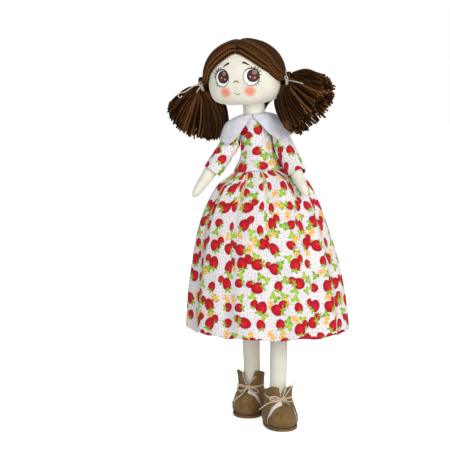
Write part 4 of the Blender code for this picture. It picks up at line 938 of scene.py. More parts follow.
def build_eye(side, eye, paints):
    """Painted eye with its iris, lights, rim, crease and lashes."""
    out = SIDES[side]
    (x, z), (wide, high) = eye["centre"], eye["half"]
    edge = oval((x, z), (wide, high), 72, EYE_SQUARE, eye["tilt"])
    iris = oval(eye["iris"], eye["radii"], 60, EYE_SQUARE)
    lower = (eye["iris"][0], eye["iris"][1] - 2.6)
    *disc, radius = eye["disc"]
    pieces = [patch("eye_" + side, edge, (x, z), 0.04 * MM, paints["eye_white"], 6),
              patch("iris", iris, eye["iris"], 0.08 * MM, paints["iris_brown"], 9),
              patch("glow", oval(lower, (3.9, 2.9), 40), lower, 0.105 * MM, paints["iris_glow"], 4),
              patch("disc", oval(disc, (radius, radius), 32), disc, 0.13 * MM, paints["eye_shine"], 4)]
    for number, (*spot, radius) in enumerate(eye["sparks"]):
        turns = circle(24)
        reach = radius * (0.72 + 0.28 * np.cos(5 * turns + number))
        star = np.stack([spot[0] + reach * np.cos(turns), spot[1] + reach * np.sin(turns)], axis=1)
        pieces.append(patch("spark", star, spot, 0.13 * MM, paints["eye_spark"], 3))
    angles = circle(72)
    thick = (0.60 + 0.95 * np.clip(np.sin(angles + 0.25 * out), 0, 1) ** 1.5
             + 0.35 * np.clip(np.cos(angles) * out, 0, 1))
    pieces.append(stroke("rim", edge, thick, 0.115 * MM, paints["face_line"], closed=True))
    lid = oval((x, z + 0.2), (wide + 1.5, high + 2.1), 72, EYE_SQUARE, eye["tilt"])
    crease = lid[20:31:2] if out < 0 else lid[6:17:2]
    pieces.append(stroke("crease", crease, (0.2, 0.55, 0.2), 0.06 * MM, paints["soft_line"]))
    for angle, length, width in LASHES:
        way = math.radians(angle)
        bend = way + math.copysign(0.30, angle)
        start = (x + out * wide * math.cos(way) * 0.99, z + high * math.sin(way) * 0.99)
        middle, end = ((start[0] + out * reach * math.cos(turned), start[1] + reach * math.sin(turned))
                       for reach, turned in ((length * 0.5, way), (length, bend)))
        widths = (width, width * 0.8, 0.05)
        pieces.append(stroke("lash", [start, middle, end], widths, 0.07 * MM, paints["face_line"], 8))
    merge("painted_eye_" + side, pieces, "head")


def build_face():
    """Painted eyes, brows, nose and mouth."""
    paints = {name: paint(name, *look) for name, look in PAINTS.items()}
    for side, eye in EYES.items():
        build_eye(side, eye, paints)
    pieces = [stroke(name, points, widths, 0.05 * MM, paints[look], count)
              for name, look, count, points, widths in FACE_STROKES]
    merge("painted_face", pieces, "head")


def build_head(cream):
    """Stuffed head."""
    head = surface("stuffed_head", place_grid(head_grid(), HEAD), cream, "head", caps=True, stands_for=["head"])


# ---------------------------------------------------------------- hair

HAIR_TREE = tree_of(loft([(h * HAIR_HEIGHT - HAIR_DROP, w * HAIR_WIDTH / 2, d * HAIR_DEPTH / 2, 0, HAIR_BACK)
                          for h, w, d in smooth_rows(HAIR_SHARES, 60)], 120, HEAD_SQUARE))
HEAD_SKIN = tree_of(head_grid(YARN_SEAT))


def from_axis(tree, across, angle, least):
    """Distance of a surface from the line through both ties, at an angle from the front over the top."""
    start = Vector((across, TIE_Y, TIE_Z))
    spot = tree.ray_cast(start, Vector((0, -math.cos(angle), math.sin(angle))))[0]
    return max(least, (spot - start).length) if spot else least


def tie_point(across, angle, distance):
    """World point at an angle and a distance from the line through both ties."""
    return HEAD @ Vector((across, TIE_Y - distance * math.cos(angle), TIE_Z + distance * math.sin(angle)))


def hair_table(side, sign):
    """For each step from the parting to the tie: place from the parting, hairline angle and distance, place across."""
    line = np.array(HAIRLINE[side]) * MM
    reach = HAIR_WIDTH / 2
    table = []
    for step in range(HAIR_STEPS):
        from_parting = 0.0006 + (reach - 0.0010) * math.sin(step / (HAIR_STEPS - 1) * math.pi / 2)
        across = sign * from_parting + PARTING * MM * (1 - from_parting / reach)
        up = float(np.interp(sign * across, line[:, 0], line[:, 1]))
        spot = HEAD_SKIN.ray_cast(Vector((across, -0.1, up)), Vector((0, 1, 0)))[0]
        if spot is not None and from_parting < 0.0405:
            front = math.atan2(spot.z - TIE_Z, TIE_Y - spot.y)
            near = math.hypot(spot.z - TIE_Z, TIE_Y - spot.y)
        else:
            front, near = math.radians(6), STUB_RADIUS * 0.9
        table.append([from_parting, front, near, across])
    table = np.array(table)
    for column in (1, 2):
        table[:, column] = np.convolve(np.pad(table[:, column], 2, mode="edge"), np.ones(5) / 5, mode="valid")
    return table


def hair_point(row, share, sink):
    """Point of the combed hair: a row of the table, a share from hairline to nape, and how deep it lies."""
    from_parting, front, near, across = row
    nape = math.radians(np.interp(from_parting / (HAIR_WIDTH / 2), *NAPE))
    angle = front + (nape - front) * share
    full = from_axis(HAIR_TREE, across, angle, STUB_RADIUS * 0.92)
    skin = from_axis(HEAD_SKIN, across, angle, STUB_RADIUS * 0.9)
    rise = math.sin(min(1.0, share / 0.085) * math.pi / 2) ** 0.7
    fall = math.sin(min(1.0, (1 - share) / 0.10) * math.pi / 2) ** 0.8
    if share < 0.5:
        distance = near + (full - near) * rise if share < 0.085 else full
    else:
        distance = skin + (full - skin) * fall
    distance -= PARTING_DEPTH * math.exp(-(from_parting / 0.0028) ** 2) + sink
    return tie_point(across, angle, max(distance, STUB_RADIUS * 0.85))


def build_hair(wool, thread, dark):
    """Combed halves from the parting to the ties, laid strand by strand over a dark cap."""
    for side, sign in SIDES.items():
        table = hair_table(side, sign)
        shares = np.linspace(0.006, 0.994, 46)
        cap = np.array([[hair_point(row, share, SKIN_GAP) for row in table] for share in shares])
        # The cap stands for the yarn beneath, painted dark as the shade between the strands over it.
        base = surface("hair_base_" + side, cap, dark, closed=False, stands_for=["hair_" + side])
        axis = HEAD.to_3x3() @ Vector((sign, 0, 0))
        paths, radii = [], []
        for number in range(HAIR_STRANDS):
            share = (number + 0.5 + CHANCE.uniform(-0.3, 0.3)) / HAIR_STRANDS
            deep = CHANCE.uniform(0, 0.0006)
            swing, phase = CHANCE.uniform(0.001, 0.0035), CHANCE.uniform(0, math.tau)
            path = []
            for step, row in enumerate(table):
                along = step / (HAIR_STEPS - 1)
                sway = swing * math.sin(along * 5 + phase) * math.sin(along * math.pi)
                path.append(hair_point(row, min(1, max(0, share + sway)), deep))
            for stub in (0.0032, 0.0030):
                path.append(path[-1] + axis * stub)
            paths.append(path)
            radii.append(taper(len(path), *COMBED_RADII) * CHANCE.uniform(0.86, 1.16))
        for number in range(WISPS[side]):
            shift = np.array((CHANCE.uniform(-3, 3), CHANCE.uniform(-2.5, 2.5), CHANCE.uniform(-2, 2)))
            curl = CHANCE.uniform(-3, 3)
            wisp = [(33, 14, 15), (29, 17, 6), (22 + curl * 0.5, 16, -1), (16 + curl, 14 + curl, -6.5 - number * 0.3)]
            path = spline([(np.array(point) * (sign, 1, 1) + shift * step / 3) * MM
                           for step, point in enumerate(wisp)], 12)
            paths.append([HEAD @ Vector(point) for point in path])
            radii.append(np.linspace(0.0009, 0.0006, 12))
        merge("combed_hair_" + side, [base, tubes("strands", paths, radii, wool)], "head")
    middle = [tie_point(PARTING * MM, angle, from_axis(HAIR_TREE, PARTING * MM, angle, STUB_RADIUS) - 0.0013)
              for angle in np.linspace(math.radians(52), math.radians(214), 80)]
    stitches("hair_parting_stitches", middle, thread, "head", 0.0036, 0.0029, 0.00032, stands_for=["hair_parting"])


def build_pigtail(side, sign, wool):
    """Loose fan of cut yarn beyond the tie."""
    hinge = HEAD @ move(sign * (HAIR_WIDTH / 2 + STUB_LENGTH + CLEARANCE + STUB_RADIUS), TIE_Y, TIE_Z)
    lay = hinge @ turn("Y", -sign * PIGTAIL_OUT[side]) @ turn("X", -PIGTAIL_FORWARD[side])
    back = (lay.inverted() @ hinge).to_3x3()
    to_head = HEAD.inverted() @ lay
    axis, depthwise, rise = (np.array(back @ Vector(way)) for way in ((sign, 0, 0), (0, 1, 0), (0, 0, 1)))
    guides = np.array(FANS[side]) * MM
    gaps = len(guides) - 1
    paths, radii = [], []
    for number in range(PIGTAIL_STRANDS):
        spot = gaps * ((number * GOLDEN) % 1)
        low = min(gaps - 1, int(spot))
        run = guides[low] * (1 - spot + low) + guides[low + 1] * (spot - low)
        layer = math.cos(math.pi * (number + 0.5) / PIGTAIL_STRANDS)
        half = PIGTAIL_THICKNESS / 2 * (0.36 + 0.52 * math.sin(math.pi * (spot + 0.35) / 7.7) ** 0.7)
        angle = math.tau * CHANCE.random()
        out = math.sqrt(CHANCE.random())
        start = axis * -0.0085 + (rise * math.sin(angle) + depthwise * math.cos(angle)) * 0.0034 * out
        points = [start, start + axis * 0.0038 + np.array((sign * run[0][0], 0, run[0][1])) * 0.10]
        swing = np.array((CHANCE.uniform(-1, 1), CHANCE.uniform(-1, 1), CHANCE.uniform(-1, 1))) * 0.0019
        for (x, z), spread, share in zip(run, (0.42, 0.72, 0.9, 1.0, 1.02), (0, 0.6, 1, 0.4, -0.6)):
            points.append(np.array((sign * x, half * layer * spread, z)) + swing * share)
        last = CHANCE.uniform(-0.26, 0.12) - 0.08 * abs(layer)
        points[-1] = points[-1] + (points[-1] - points[-2]) * last
        path = spline(points, STRAND_POINTS)
        for index in range(4, STRAND_POINTS):
            local = to_head @ Vector(path[index])
            skin, normal, _, _ = HEAD_SKIN.find_nearest(local)
            if normal.dot(skin - Vector((0, 0, HEAD_HEIGHT / 2))) < 0:
                normal = -normal
            inside = SKIN_GAP - (local - skin).dot(normal)
            if 0 < inside < 0.02 and (local - skin).length < 0.02:
                path[index] = np.array(to_head.inverted() @ (local + normal * inside))
        paths.append(place_grid(path, lay))
        radii.append(taper(STRAND_POINTS, *LOOSE_RADII) * CHANCE.uniform(0.86, 1.12))
    made = tubes("pigtail_strands_" + side, paths, radii, wool, stands_for=["pigtail_" + side])
    near_head, beyond = (lay @ Vector((sign * out * MM, 0, -30 * MM)) for out in (-34, -7))
    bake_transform(made)


def knot_turns(middle, half, count):
    """Two turns of twine as a knot."""
    angles = math.tau * np.arange(count + 1) / count * 2
    x, y, z = half
    return middle + np.stack([x * np.cos(angles), -0.0004 + y * np.sin(angles * 1.5), z * np.sin(angles)], axis=1)


def build_hair_tie(side, sign, twine):
    """Twine wound round the drawn yarn, its knot, loop and ends."""
    middle = np.array((sign * (HAIR_WIDTH / 2 + STUB_LENGTH / 2), TIE_Y, TIE_Z))
    radius = STUB_RADIUS + TWINE
    steps = np.arange(73)
    angles = math.tau * steps / 24 + math.pi
    turns = middle + np.stack([sign * (steps / 72 - 0.5) * 0.0030, radius * np.cos(angles),
                               radius * np.sin(angles)], axis=1)
    knot = middle + np.array((0, -radius - TWINE, 0))
    paths = [turns] + [spline(knot + np.array(path) * MM, 18) for path in TIE_ENDS[side]]
    paths.append(knot_turns(knot, (0.0009, 0.0006, 0.0009), 32))
    tubes("hair_twine_" + side, [place_grid(path, HEAD) for path in paths], TWINE, twine, "head", 7,
          stands_for=["hair_tie_" + side])


# ---------------------------------------------------------------- body

def trunk_rows(grown=0.0):
    """Sections of the trunk."""
    return [(h * TRUNK_HEIGHT, w * HIP_WIDTH / 2 + grown, d * TRUNK_DEPTH / 2 + grown) for h, w, d in TORSO_SHARES]


def build_trunk(cream, thread, timber, buttons):
    """Stuffed trunk with its neck, and what joins head and arms to it."""
    neck = [(TRUNK_HEIGHT + up, NECK_RADIUS, NECK_RADIUS) for up in (0, 0.008, NECK_LENGTH)]
    grid = loft(smooth_rows(trunk_rows() + neck, 74), 64)
    near = np.abs(grid[:, :, 2] - SHOULDER_HEIGHT) < NECK_RADIUS
    grid[:, :, 0] = np.where(near, np.clip(grid[:, :, 0], -SHOULDER_FACE, SHOULDER_FACE), grid[:, :, 0])
    trunk = surface("stuffed_trunk", place_grid(grid, TORSO), cream, "torso", caps=True, stands_for=["torso"])
    reach = SHOULDER_FACE + CLEARANCE + SHOULDER_INSET + ARM_FACE + ARM_BUTTON + 2 * CLEARANCE
    ends = np.linspace(-reach - THREAD_KNOT, reach + THREAD_KNOT, 25)
    path = [TORSO @ Vector((x, 0, SHOULDER_HEIGHT)) for x in ends]
    bulge = np.where(np.abs(ends) > reach - 0.0001, 0.0009, 0.0006)
    tubes("shoulder_thread_twisted", [path], [bulge], thread, "torso", 8, stands_for=["shoulder_thread"])
    roll = [Vector((x, 0, 0)) + JOINTS["sit"] for x in np.linspace(-0.0284, 0.0284, 30)]
    radii = np.interp(np.arange(30), [0, 2, 27, 29], [0.0012, HIP_SEAM_RADIUS, HIP_SEAM_RADIUS, 0.0012])
    tubes("hip_seam_roll", [roll], [radii], cream, "lap", 16, stands_for=["hip_seam"])
    for name in ("neck_dowel", "arm_button_left", "arm_button_right", "dress_button"):
        node = frame["nodes"][name]
        node.data.materials.clear()
        node.data.materials.append((timber if name == "neck_dowel" else buttons).material)


def build_arm(side, sign, cream, cotton):
    """Stuffed arm with its mitten hand, and the sleeve over it."""
    shoulder = (TORSO @ move(sign * (SHOULDER_FACE + CLEARANCE + SHOULDER_INSET), 0, SHOULDER_HEIGHT)
                @ turn("X", -ARM_SWING[side]))
    arm = shoulder @ turn("Y", -sign * ARM_SPLAY[side])
    rows = [(a * ARM_LENGTH, w * ARM_WIDTH / 2, d * ARM_DEPTH / 2) for a, w, d in ARM_SHARES]
    grid = place_grid(place_grid(loft(smooth_rows(rows, 72), 48), arm), shoulder.inverted())
    across = sign * np.clip(sign * grid[:, :, 0], -SHOULDER_INSET, ARM_FACE)
    grid[:, :, 0] = np.where(grid[:, :, 2] > -ARM_WIDTH / 2, across, grid[:, :, 0])
    body = surface("stuffed_arm_" + side, place_grid(grid, shoulder), cream, "arm_" + side, caps=True,
                   stands_for=["arm_" + side])
    length = SLEEVE_LENGTH[side]
    rows = []
    for angle in np.radians(np.linspace(84, 4, 12)):
        flat = SLEEVE_RADIUS * math.cos(angle)
        rows.append((SLEEVE_RADIUS * math.sin(angle), flat, flat, 0, 0))
    for share in np.linspace(0.03, 1.0, 40):
        width = np.interp(share, [0, 0.15, 0.4, 0.75, 1.0], [1.0, 1.0, 1.02, 1.02, 0.985]) * SLEEVE_RADIUS
        rows.append((-share * length, width, width, sign * SLEEVE_OUTWARD[side] * min(1, share * 3), 0))
    grid = loft(rows, 60)
    angles = circle(60)
    for index, row in enumerate(rows):
        share = max(0, -row[0] / length)
        crush = (0.00034 * np.sin(angles * 3 + share * 9 + sign) * math.sin(share * math.pi)
                 + 0.00026 * np.sin(share * 26 + np.sin(angles * 2) * 1.6))
        grid[index, :, :2] *= (1 + crush / SLEEVE_RADIUS * min(1, 6 * share))[:, None]
    seam = TORSO @ Vector((sign * SLEEVE_SEAM, 0, 0))
    made = surface("sleeve_cloth_" + side, place_grid(grid, arm), cotton, "arm_" + side, wall=0.0007, inside=False,
                   cut=(seam, TORSO.to_3x3() @ Vector((sign, 0, 0))), stands_for=["sleeve_" + side])


def hip_frame(side):
    """Frame of a leg at its hinge."""
    return move(*JOINTS["leg_" + side + "_swing"]) @ turn("X", -LEG_SWING[side])


def build_leg(side, sign, cream):
    """Stuffed leg and the foot inside the bootie."""
    rows = [(-HIP_SEAM_RADIUS - CLEARANCE, LEG_RADIUS * 0.95, 0.00065)]
    rows += [(-a * LEG_LENGTH, w * LEG_RADIUS, d * LEG_RADIUS) for a, w, d in LEG_SHARES]
    rows += [(-LEG_LENGTH - 0.004, LEG_RADIUS * 0.5, LEG_RADIUS * 0.5)]
    grid = wobble(loft(smooth_rows(rows, 110), 56), 0.021, 0.00022, sign)
    leg = surface("leg_tube", place_grid(grid, hip_frame(side)), cream, caps=True)
    rows = []
    for up, width, toe, heel in FOOT_SHARES:
        front, rear = toe * TOE_LENGTH, heel * HEEL_LENGTH
        height = SHOE_FLOOR + up * (SHOE_HEIGHT - SHOE_FLOOR)
        rows.append((height, width * SHOE_HALF, (front + rear) / 2, 0, (rear - front) / 2))
    grid = loft(smooth_rows(rows, 30), 48, SHOE_SQUARE)
    foot = surface("foot_form", place_grid(grid, shoe_frame(side, sign)), cream, caps=True)
    made = merge("stuffed_leg_" + side, [leg, foot], "leg_" + side)
    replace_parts(made, "leg_" + side)


# ---------------------------------------------------------------- dress

def build_bodice(cotton, thread):
    """Printed upper part of the dress."""
    cloth = CLEARANCE + COTTON
    outer = trunk_rows(cloth) + [(TRUNK_HEIGHT, NECK_RADIUS + cloth, NECK_RADIUS + cloth)]
    table = smooth_rows(outer, 80)
    table = table[table[:, 0] > SKIRT_TOP * TRUNK_HEIGHT + CLEARANCE]
    grid = loft(table, 96)
    angles = circle(96)
    low = 1 - (table[:, 0] - table[0, 0]) / (table[-1, 0] - table[0, 0])
    grid[:, :, :2] *= (1 + 0.010 * np.outer(low ** 3, np.sin(angles * 13 + np.sin(angles * 3))))[:, :, None]
    near = (np.abs(grid[:, :, 2] - SHOULDER_HEIGHT) < 0.0115) & (np.abs(grid[:, :, 1]) < 0.0098)
    limit = SHOULDER_FACE + CLEARANCE + 0.0004
    grid[:, :, 0] = np.where(near, np.clip(grid[:, :, 0], -limit, limit), grid[:, :, 0])
    made = surface("bodice_cloth", place_grid(grid, TORSO), cotton, "torso", wall=0.0009, stands_for=["bodice"])
    low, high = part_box("dress_button")
    centre = (low + high) / 2 + Vector((0, (high.y - low.y) * 0.2, 0))
    cross = [[centre + Vector((t * 0.0014, 0.0007 * (1 - t * t) + 0.0001, way * t * 0.0014))
              for t in (-1, -0.5, 0, 0.5, 1)] for way in (1, -1)]
    tubes("button_stitches", cross, 0.0003, thread, "torso")


def skirt_grid():
    """Points of the gathered skirt from waist to hem, and its cloth coordinates."""
    trunk = np.array(trunk_rows(CLEARANCE + COTTON))
    waist = [np.interp(SKIRT_TOP * TRUNK_HEIGHT, trunk[:, 0], trunk[:, column]) for column in (1, 2)]
    middle = turn("Y", TORSO_LEAN) @ Vector((0, 0, SKIRT_TOP * TRUNK_HEIGHT))
    table = np.array([(0, waist[0] / (HEM_WIDTH / 2), waist[1] / (HEM_DEPTH / 2), 1, 1, 0.004)] + SKIRT_SHARES)
    down = np.concatenate([np.linspace(0, 0.12, 26, endpoint=False), np.linspace(0.12, 1, SKIRT_ROWS - 26)])
    table = np.stack([cubic(down, table[:, 0], column) for column in table.T], axis=1)
    angles = circle(SKIRT_COLUMNS) + math.pi / 2
    drift = 0.34 * np.sin(angles * 2 + 0.8) + 0.22 * np.sin(angles * 5 + 2.0)
    main = np.cos(SKIRT_FOLDS * angles + drift)
    main = np.sign(main) * np.abs(main) ** 0.85
    valley = ((1 - main) / 2) ** 6
    creases = np.zeros((3, SKIRT_COLUMNS))
    for place, depth, kind in CREASES:
        away = np.abs((angles - math.radians(place) + math.pi) % math.tau - math.pi)
        creases[kind] += depth * (0.55 * np.exp(-((away - 0.085) / 0.05) ** 2) - np.exp(-(away / 0.042) ** 2))
    second = np.sin(17 * angles + 1.7 * np.sin(angles * 3))
    fine = np.cos(43 * angles + 2.2 * np.sin(angles * 4 + 1))
    grid = np.zeros((SKIRT_ROWS, SKIRT_COLUMNS, 3))
    for index, (share, width, depth, centre, tilt, fold) in enumerate(table):
        lean = np.array(turn("Y", TORSO_LEAN * tilt).to_3x3())
        gather = math.exp(-share / 0.055) * min(1, share / 0.006 + 0.35)
        soft = min(1, share / 0.10)
        deep = 1.5 - 1.25 * min(1, share / 0.42)
        wave = 1 + fold * (main - valley * deep) + 0.026 * fine * gather * soft ** 0.3
        wave += 0.009 * second * soft * (0.4 + 0.6 * share)
        for kind, length in enumerate(CREASE_LENGTHS):
            wave += creases[kind] * math.exp(-share / length) * min(1, share / 0.012)
        ringed = np.stack([HEM_WIDTH / 2 * width * wave * np.cos(angles),
                           HEM_DEPTH / 2 * depth * wave * np.sin(angles), np.zeros(SKIRT_COLUMNS)], axis=1)
        grid[index] = ringed @ lean.T + np.array((middle.x * centre, 0, middle.z - share * SKIRT_LENGTH))
        if share > 0.55:
            grid[index, :, 2] += 0.0018 * (share - 0.55) / 0.45 * (main * 0.6 + second * 0.5)
    return grid + np.array(JOINTS["sit"]), (SKIRT_FOLDS * angles + drift) / math.tau


def skirt_print(grid, phase):
    """Cloth coordinates of the skirt: a fold keeps its scale at its crest, and what is spare goes into the valleys."""
    number = np.round(phase)
    uv = lengths(grid, True)
    runs = uv[:, :, 0].copy()
    hem = runs[-1]
    for fold in np.unique(number):
        members = np.where(number == fold)[0]
        core = members[np.argmin(np.abs(phase[members] - fold))]
        for members, end in ((members[members < core], members[0]), (members[members >= core], members[-1] + 1)):
            if end == core:
                uv[:, core, 0] = hem[core]
                continue
            width, full = runs[:, end] - runs[:, core], hem[end] - hem[core]
            along = (runs[:, members] - runs[:, core, None]) / width[:, None]
            uv[:, members, 0] = hem[core] + along * width[:, None] + (full - width)[:, None] * along ** 4
    uv[:, -1, 0] = hem[-1]
    return uv


def build_skirt(cotton):
    """Gathered skirt that hangs from the waist, leaning with the trunk at the top and upright lower down."""
    grid, phase = skirt_grid()
    made = surface("skirt_cloth", grid, cotton, uv=skirt_print(grid, phase), wall=0.0006, inside=False,
                   stands_for=["skirt"])
    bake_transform(made)


def build_collar(white):
    """Two felt lobes that meet at the front and back of the neck."""
    table, edge = np.array(COLLAR_SHARES), np.array(COLLAR_EDGE)
    angles = np.radians(np.concatenate([np.linspace(-89.2, -60, 22), np.linspace(-58, 58, 60),
                                        np.linspace(60, 89.2, 22)]))
    cos, sin = ring(angles, 2.4)
    tries = np.linspace(0, 1.0, 240)
    for side, sign in SIDES.items():
        grid = np.zeros((26, len(angles), 3))
        for column, angle in enumerate(angles):
            widths = np.interp(tries, table[:, 0], table[:, 1]) * cos[column]
            past = tries > np.interp(widths, edge[:, 0], edge[:, 1])
            longest = max(tries[np.argmax(past)] if past.any() else 1.0, 0.03)
            for row in range(26):
                down = longest * row / 25
                wide, deep = (cubic([down], table[:, 0], table[:, c])[0] for c in (1, 2))
                lift = 0.0004 * math.sin(3 * angle + 4 * down) * down
                grid[row, column] = (sign * wide * COLLAR_WIDTH / 2 * cos[column] * (1 + lift * 10),
                                     deep * COLLAR_DEPTH / 2 * sin[column], COLLAR_TOP - down * COLLAR_DROP)
        made = surface("collar_lobe_" + side, place_grid(grid, TORSO), white, closed=False, wall=COLLAR_FELT * 0.85,
                       inside=sign < 0, stands_for=["collar_" + side])
        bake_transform(made)


# ---------------------------------------------------------------- shoes

def shoe_frame(side, sign):
    """Frame of a bootie: its floor under the ankle."""
    level = turn("X", LEG_SWING[side])
    point = Vector((0, 0, -LEG_LENGTH)) + level.to_3x3() @ Vector((sign * SHOE_OUTWARD, 0, -ANKLE_HEIGHT))
    return hip_frame(side) @ move(*point) @ level @ turn("Z", sign * SHOE_TURN_OUT[side])


def shoe_ring(height, inset):
    """Half width, half length and middle of the bootie at one height."""
    table = np.array(SHOE_SHARES)
    heights = SHOE_FLOOR + table[:, 0] * (SHOE_HEIGHT - SOLE_THICKNESS)
    width, toe, heel = (float(cubic([height], heights, table[:, column])[0]) * size - inset
                        for column, size in ((1, SHOE_HALF), (2, TOE_LENGTH), (3, HEEL_LENGTH)))
    return width, (toe + heel) / 2, (heel - toe) / 2


def shoe_point(angle, height, inset):
    """Point on the wall of the bootie, by its angle from the heel."""
    width, length, middle = shoe_ring(height, inset)
    cos, sin = ring(math.pi / 2 + angle, SHOE_SQUARE)
    return np.array((width * cos, middle + length * sin, height))


def front_angle(height, inset, along):
    """Angle from the heel at which the wall reaches a place along the foot."""
    _, length, middle = shoe_ring(height, inset)
    value = np.clip((along - middle) / length, -1, 1)
    return math.pi / 2 - math.asin(np.sign(value) * abs(value) ** (SHOE_SQUARE / 2))


def drawn_in(height):
    """How much the lace draws the bootie in at one height, from 0 to 1."""
    return math.exp(-((height - KNOT_HEIGHT) / 0.0035) ** 2)


def build_sole(side, shoe, khaki):
    """Flat felt sole."""
    right = np.array(SOLE_SHARES)
    outline = np.concatenate([right, right[::-1][1:] * (-1, 1)])
    smooth = spline([(x * SHOE_HALF, y * (TOE_LENGTH if y < 0 else HEEL_LENGTH), 0) for x, y in outline], 97)[:-1]
    rows = [smooth * (share, share, 1) + (0, 0, height) for height, share in SOLE_EDGE]
    surface("sole_felt_" + side, place_grid(np.array(rows), shoe), khaki, "leg_" + side, caps=True,
            stands_for=["shoe_sole_" + side])


def build_vamp(side, shoe, khaki):
    """Felt over the toes."""
    columns, levels = 64, 30
    grid = np.zeros((levels, columns, 3))
    for row in range(levels):
        height = SHOE_FLOOR + (KNOT_HEIGHT + FELT - SHOE_FLOOR) * row / (levels - 1)
        reach = front_angle(height, FELT, HEEL_LENGTH / 4)
        for column in range(columns):
            angle = reach + (math.tau - 2 * reach) * column / (columns - 1)
            point = shoe_point(angle, height, FELT * 1.5)
            puff = 0.0002 * math.sin(angle * 5 + height * 260) * math.sin(math.pi * row / (levels - 1))
            point[:2] *= (1 + puff / 0.02) * (1 - 0.06 * drawn_in(height))
            grid[row, column] = point
    surface("vamp_felt_" + side, place_grid(grid, shoe), khaki, "leg_" + side, closed=False, wall=FELT * 0.6,
            stands_for=["shoe_vamp_" + side])


def quarter_reach(side, inner, height, inset, lining):
    """Angle from the heel at which the quarter or its lining ends, on the inner or the outer side of the foot."""
    if height < KNOT_HEIGHT:
        share = height / SHOE_HEIGHT
        edge = np.interp(share, *QUARTER_EDGE) * TOE_LENGTH
        places, shares, most = LINING_SHOWN[not inner]
        return front_angle(height, inset, edge - np.interp(share, places, shares) * most * lining)
    over = height - KNOT_HEIGHT
    half = np.interp(over, [0, 0.004, 0.008, 0.016], OPENINGS[side][not inner]) * MM
    half -= 0.0009 * lining * min(1, over / 0.002)
    return math.pi - math.asin(min(1, max(0.0001, half) / shoe_ring(height, inset)[0]) ** (SHOE_SQUARE / 2))


def build_quarter(side, sign, shoe, look, lining):
    """Felt round the heel with its flaps, or the white lining inside it."""
    name, inset, wall = ("lining_felt_", FELT * 0.96, 0.0006) if lining else ("quarter_felt_", 0.0, FELT * 0.92)
    columns, levels = 110, 56
    grid = np.zeros((levels, columns, 3))
    for column in range(columns):
        part = -1 + 2 * column / (columns - 1)
        rim = float(np.interp(abs(part), *RIM_SHARES)) * SHOE_HEIGHT * RIM_RISE[side] - 0.0007 * lining
        for row in range(levels):
            height = SHOE_FLOOR + (rim - SHOE_FLOOR) * row / (levels - 1)
            reach = min(quarter_reach(side, part * sign > 0, height, inset, lining), math.radians(178.9))
            point = shoe_point(part * reach, height, inset)
            flare = max(0, (height - KNOT_HEIGHT) / (SHOE_HEIGHT - KNOT_HEIGHT)) ** 1.6
            out = np.array([point[0], point[1] * 0.6, 0])
            point += out / max(np.linalg.norm(out), 1e-6) * 0.0012 * flare * abs(part) ** 2
            pinch = drawn_in(height)
            point[:2] *= (1 - 0.045 * pinch) * (1 + 0.010 * math.sin(part * 16 + height * 170) * pinch)
            grid[row, column] = point
    surface(name + side, place_grid(grid, shoe), look, "leg_" + side, closed=False, wall=wall,
            stands_for=() if lining else ["shoe_quarter_" + side])


def outside(point):
    """Point moved out of the bootie's wall."""
    width, length, middle = shoe_ring(min(point[2], KNOT_HEIGHT), -1.6 * TWINE)
    value = (abs(point[0]) / width) ** SHOE_SQUARE + (abs(point[1] - middle) / length) ** SHOE_SQUARE
    stretch = value ** (-1 / SHOE_SQUARE) if 0 < value < 1 and point[2] < KNOT_HEIGHT + 0.001 else 1.0
    return np.array((point[0] * stretch, middle + (point[1] - middle) * stretch, point[2]))


def build_lace(side, shoe, twine):
    """Twine twice round the ankle, with its bow."""
    band = np.array([shoe_point(angle, KNOT_HEIGHT, -TWINE) * (0.958, 0.958, 1)
                     for angle in np.linspace(-math.pi, math.pi, 49)[:-1]])
    rounds = [place_grid(band + (0, 0, up), shoe) for up in (0, 0.0012)]
    front = band[0] + (0, -0.0008, 0)
    paths = []
    for ends in LACE_ENDS[side]:
        run = spline(front + np.array(ends) * MM, 28)
        paths.append(np.array([*run[:2], *(outside(point) for point in run[2:])]))
    paths.append(knot_turns(front, (0.0012, 0.0007, 0.0011), 40))
    made = merge("lace_twine_" + side, [
        tubes("band", rounds, TWINE, twine, closed=True, sides=7),
        tubes("bow", [place_grid(path, shoe) for path in paths], TWINE * 0.94, twine, sides=7)], "leg_" + side)
    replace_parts(made, "shoe_lace_" + side)


def build_shoe(side, sign, khaki, lining, twine, thread):
    """Felt bootie with its sole, vamp, quarter, white lining and lace."""
    shoe = shoe_frame(side, sign)
    build_sole(side, shoe, khaki)
    build_vamp(side, shoe, khaki)
    build_quarter(side, sign, shoe, khaki, 0)
    build_quarter(side, sign, shoe, lining, 1)
    seam = [shoe_point(angle, SHOE_FLOOR + 0.0012, -0.0001) for angle in np.linspace(-math.pi, math.pi, 160)]
    stitches("sole_stitches_" + side, place_grid(np.array(seam), shoe), thread, "leg_" + side, 0.0030, 0.0019, 0.00022)
    build_lace(side, shoe, twine)


# ---------------------------------------------------------------- studio

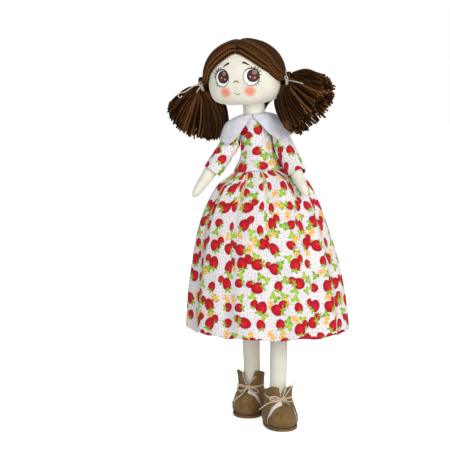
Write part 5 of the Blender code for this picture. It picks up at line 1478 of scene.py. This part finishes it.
def build_studio():
    """White floor and backdrop, soft lamps and the camera of the photograph."""
    scene = bpy.context.scene
    scene.world = scene.world or bpy.data.worlds.new("studio")
    scene.world.use_nodes = True
    net = Net(scene.world.node_tree)
    net.tree.nodes.clear()
    rays = net.node("LightPath").outputs
    straight, glossy, through = (Wire(net, rays[f"Is {kind} Ray"]) for kind in ("Camera", "Glossy", "Transmission"))
    seen = net.math("MAXIMUM", net.math("MAXIMUM", straight, glossy), through)
    light, plain = (net.make("Background", {0: WHITE, 1: strength}) for strength in (WORLD_LIGHT, 1))
    net.node("OutputWorld", {0: net.make("MixShader", {0: seen, 1: light, 2: plain})})

    mesh = bpy.data.meshes.new("floor")
    mesh.from_pydata([(-6, -6, 0), (6, -6, 0), (6, 6, 0), (-6, 6, 0)], [], [(0, 1, 2, 3)])
    floor = add_object("floor", mesh)
    floor.location.z = -0.0002
    net = Finish("floor_white", (0.9, 0.9, 0.9, 1), 0.9, 0, None, 0)
    matt = Wire(net, net.shader.outputs[0])
    bright = net.make("AddShader", {0: matt, 1: net.make("Emission", {0: WHITE, 1: FLOOR_GLOW})})
    straight = net.make("LightPath", out="Is Camera Ray")
    net.put(net.tree.nodes["Material Output"].inputs[0], net.make("MixShader", {0: straight, 1: matt, 2: bright}))
    mesh.materials.append(net.material)

    for name, (place, size, power) in LAMPS.items():
        lamp = bpy.data.lights.new(name, "AREA")
        lamp.shape, lamp.size, lamp.energy = "SQUARE", size, power
        holder = add_object(name, lamp)
        holder.location = place
        holder.rotation_euler = (LAMP_AIM - Vector(place)).to_track_quat("-Z", "Y").to_euler()

    camera = add_object("camera", bpy.data.cameras.new("camera"))
    camera.data.lens, camera.data.sensor_width = CAMERA_LENS, 36
    camera.data.clip_start, camera.data.clip_end = 0.05, 20
    around = math.radians(CAMERA_AROUND)
    camera.location = (CAMERA_FAR * math.sin(around) + JOINTS["sit"].x, -CAMERA_FAR * math.cos(around), CAMERA_HEIGHT)
    camera.rotation_euler = (math.radians(90 - CAMERA_DOWN), 0, around + math.radians(CAMERA_ASIDE))
    scene.camera = camera
    scene.view_settings.view_transform = "Standard"


def build_doll():
    """Make every piece."""
    cream, cotton, wool = cream_cotton(), printed_cotton(), yarn()
    # Dark felt of the cap under the combed strands: yarn beneath, painted darker than the yarn as the shade between
    # the strands.
    dark = felt("hair_cap", "brown_yarn", (22, 12, 8), (34, 20, 12), (50, 30, 18), 0.1)
    white = felt("white_felt", "white_felt", (190, 190, 202), (208, 208, 217), (224, 224, 229), 0.08)
    lining = felt("lining_felt", "white_felt", (206, 196, 196), (226, 218, 220), (240, 236, 238), 0.2)
    khaki = felt("khaki_felt", "khaki_felt", (84, 64, 34), (120, 94, 55), (146, 118, 74), 0.1)
    twine = twisted("twine", (186, 160, 130), (238, 216, 188))
    grey = twisted("tie_twine", (158, 150, 136), (226, 220, 208))
    thread = twisted("white_thread", (190, 186, 184), (232, 230, 228))
    parting = twisted("parting_thread", (58, 36, 20), (104, 74, 48))
    seam = twisted("khaki_thread", (60, 44, 24), (104, 80, 48))
    build_studio()
    build_head(cream)
    build_face()
    build_hair(wool, parting, dark)
    build_trunk(cream, thread, wood(), plastic())
    build_bodice(cotton, thread)
    build_skirt(cotton)
    build_collar(white)
    for side, sign in SIDES.items():
        build_pigtail(side, sign, wool)
        build_hair_tie(side, sign, grey)
        build_arm(side, sign, cream, cotton)
        build_leg(side, sign, cream)
        build_shoe(side, sign, khaki, lining, twine, seam)


build_doll()
bpy.context.view_layer.update()
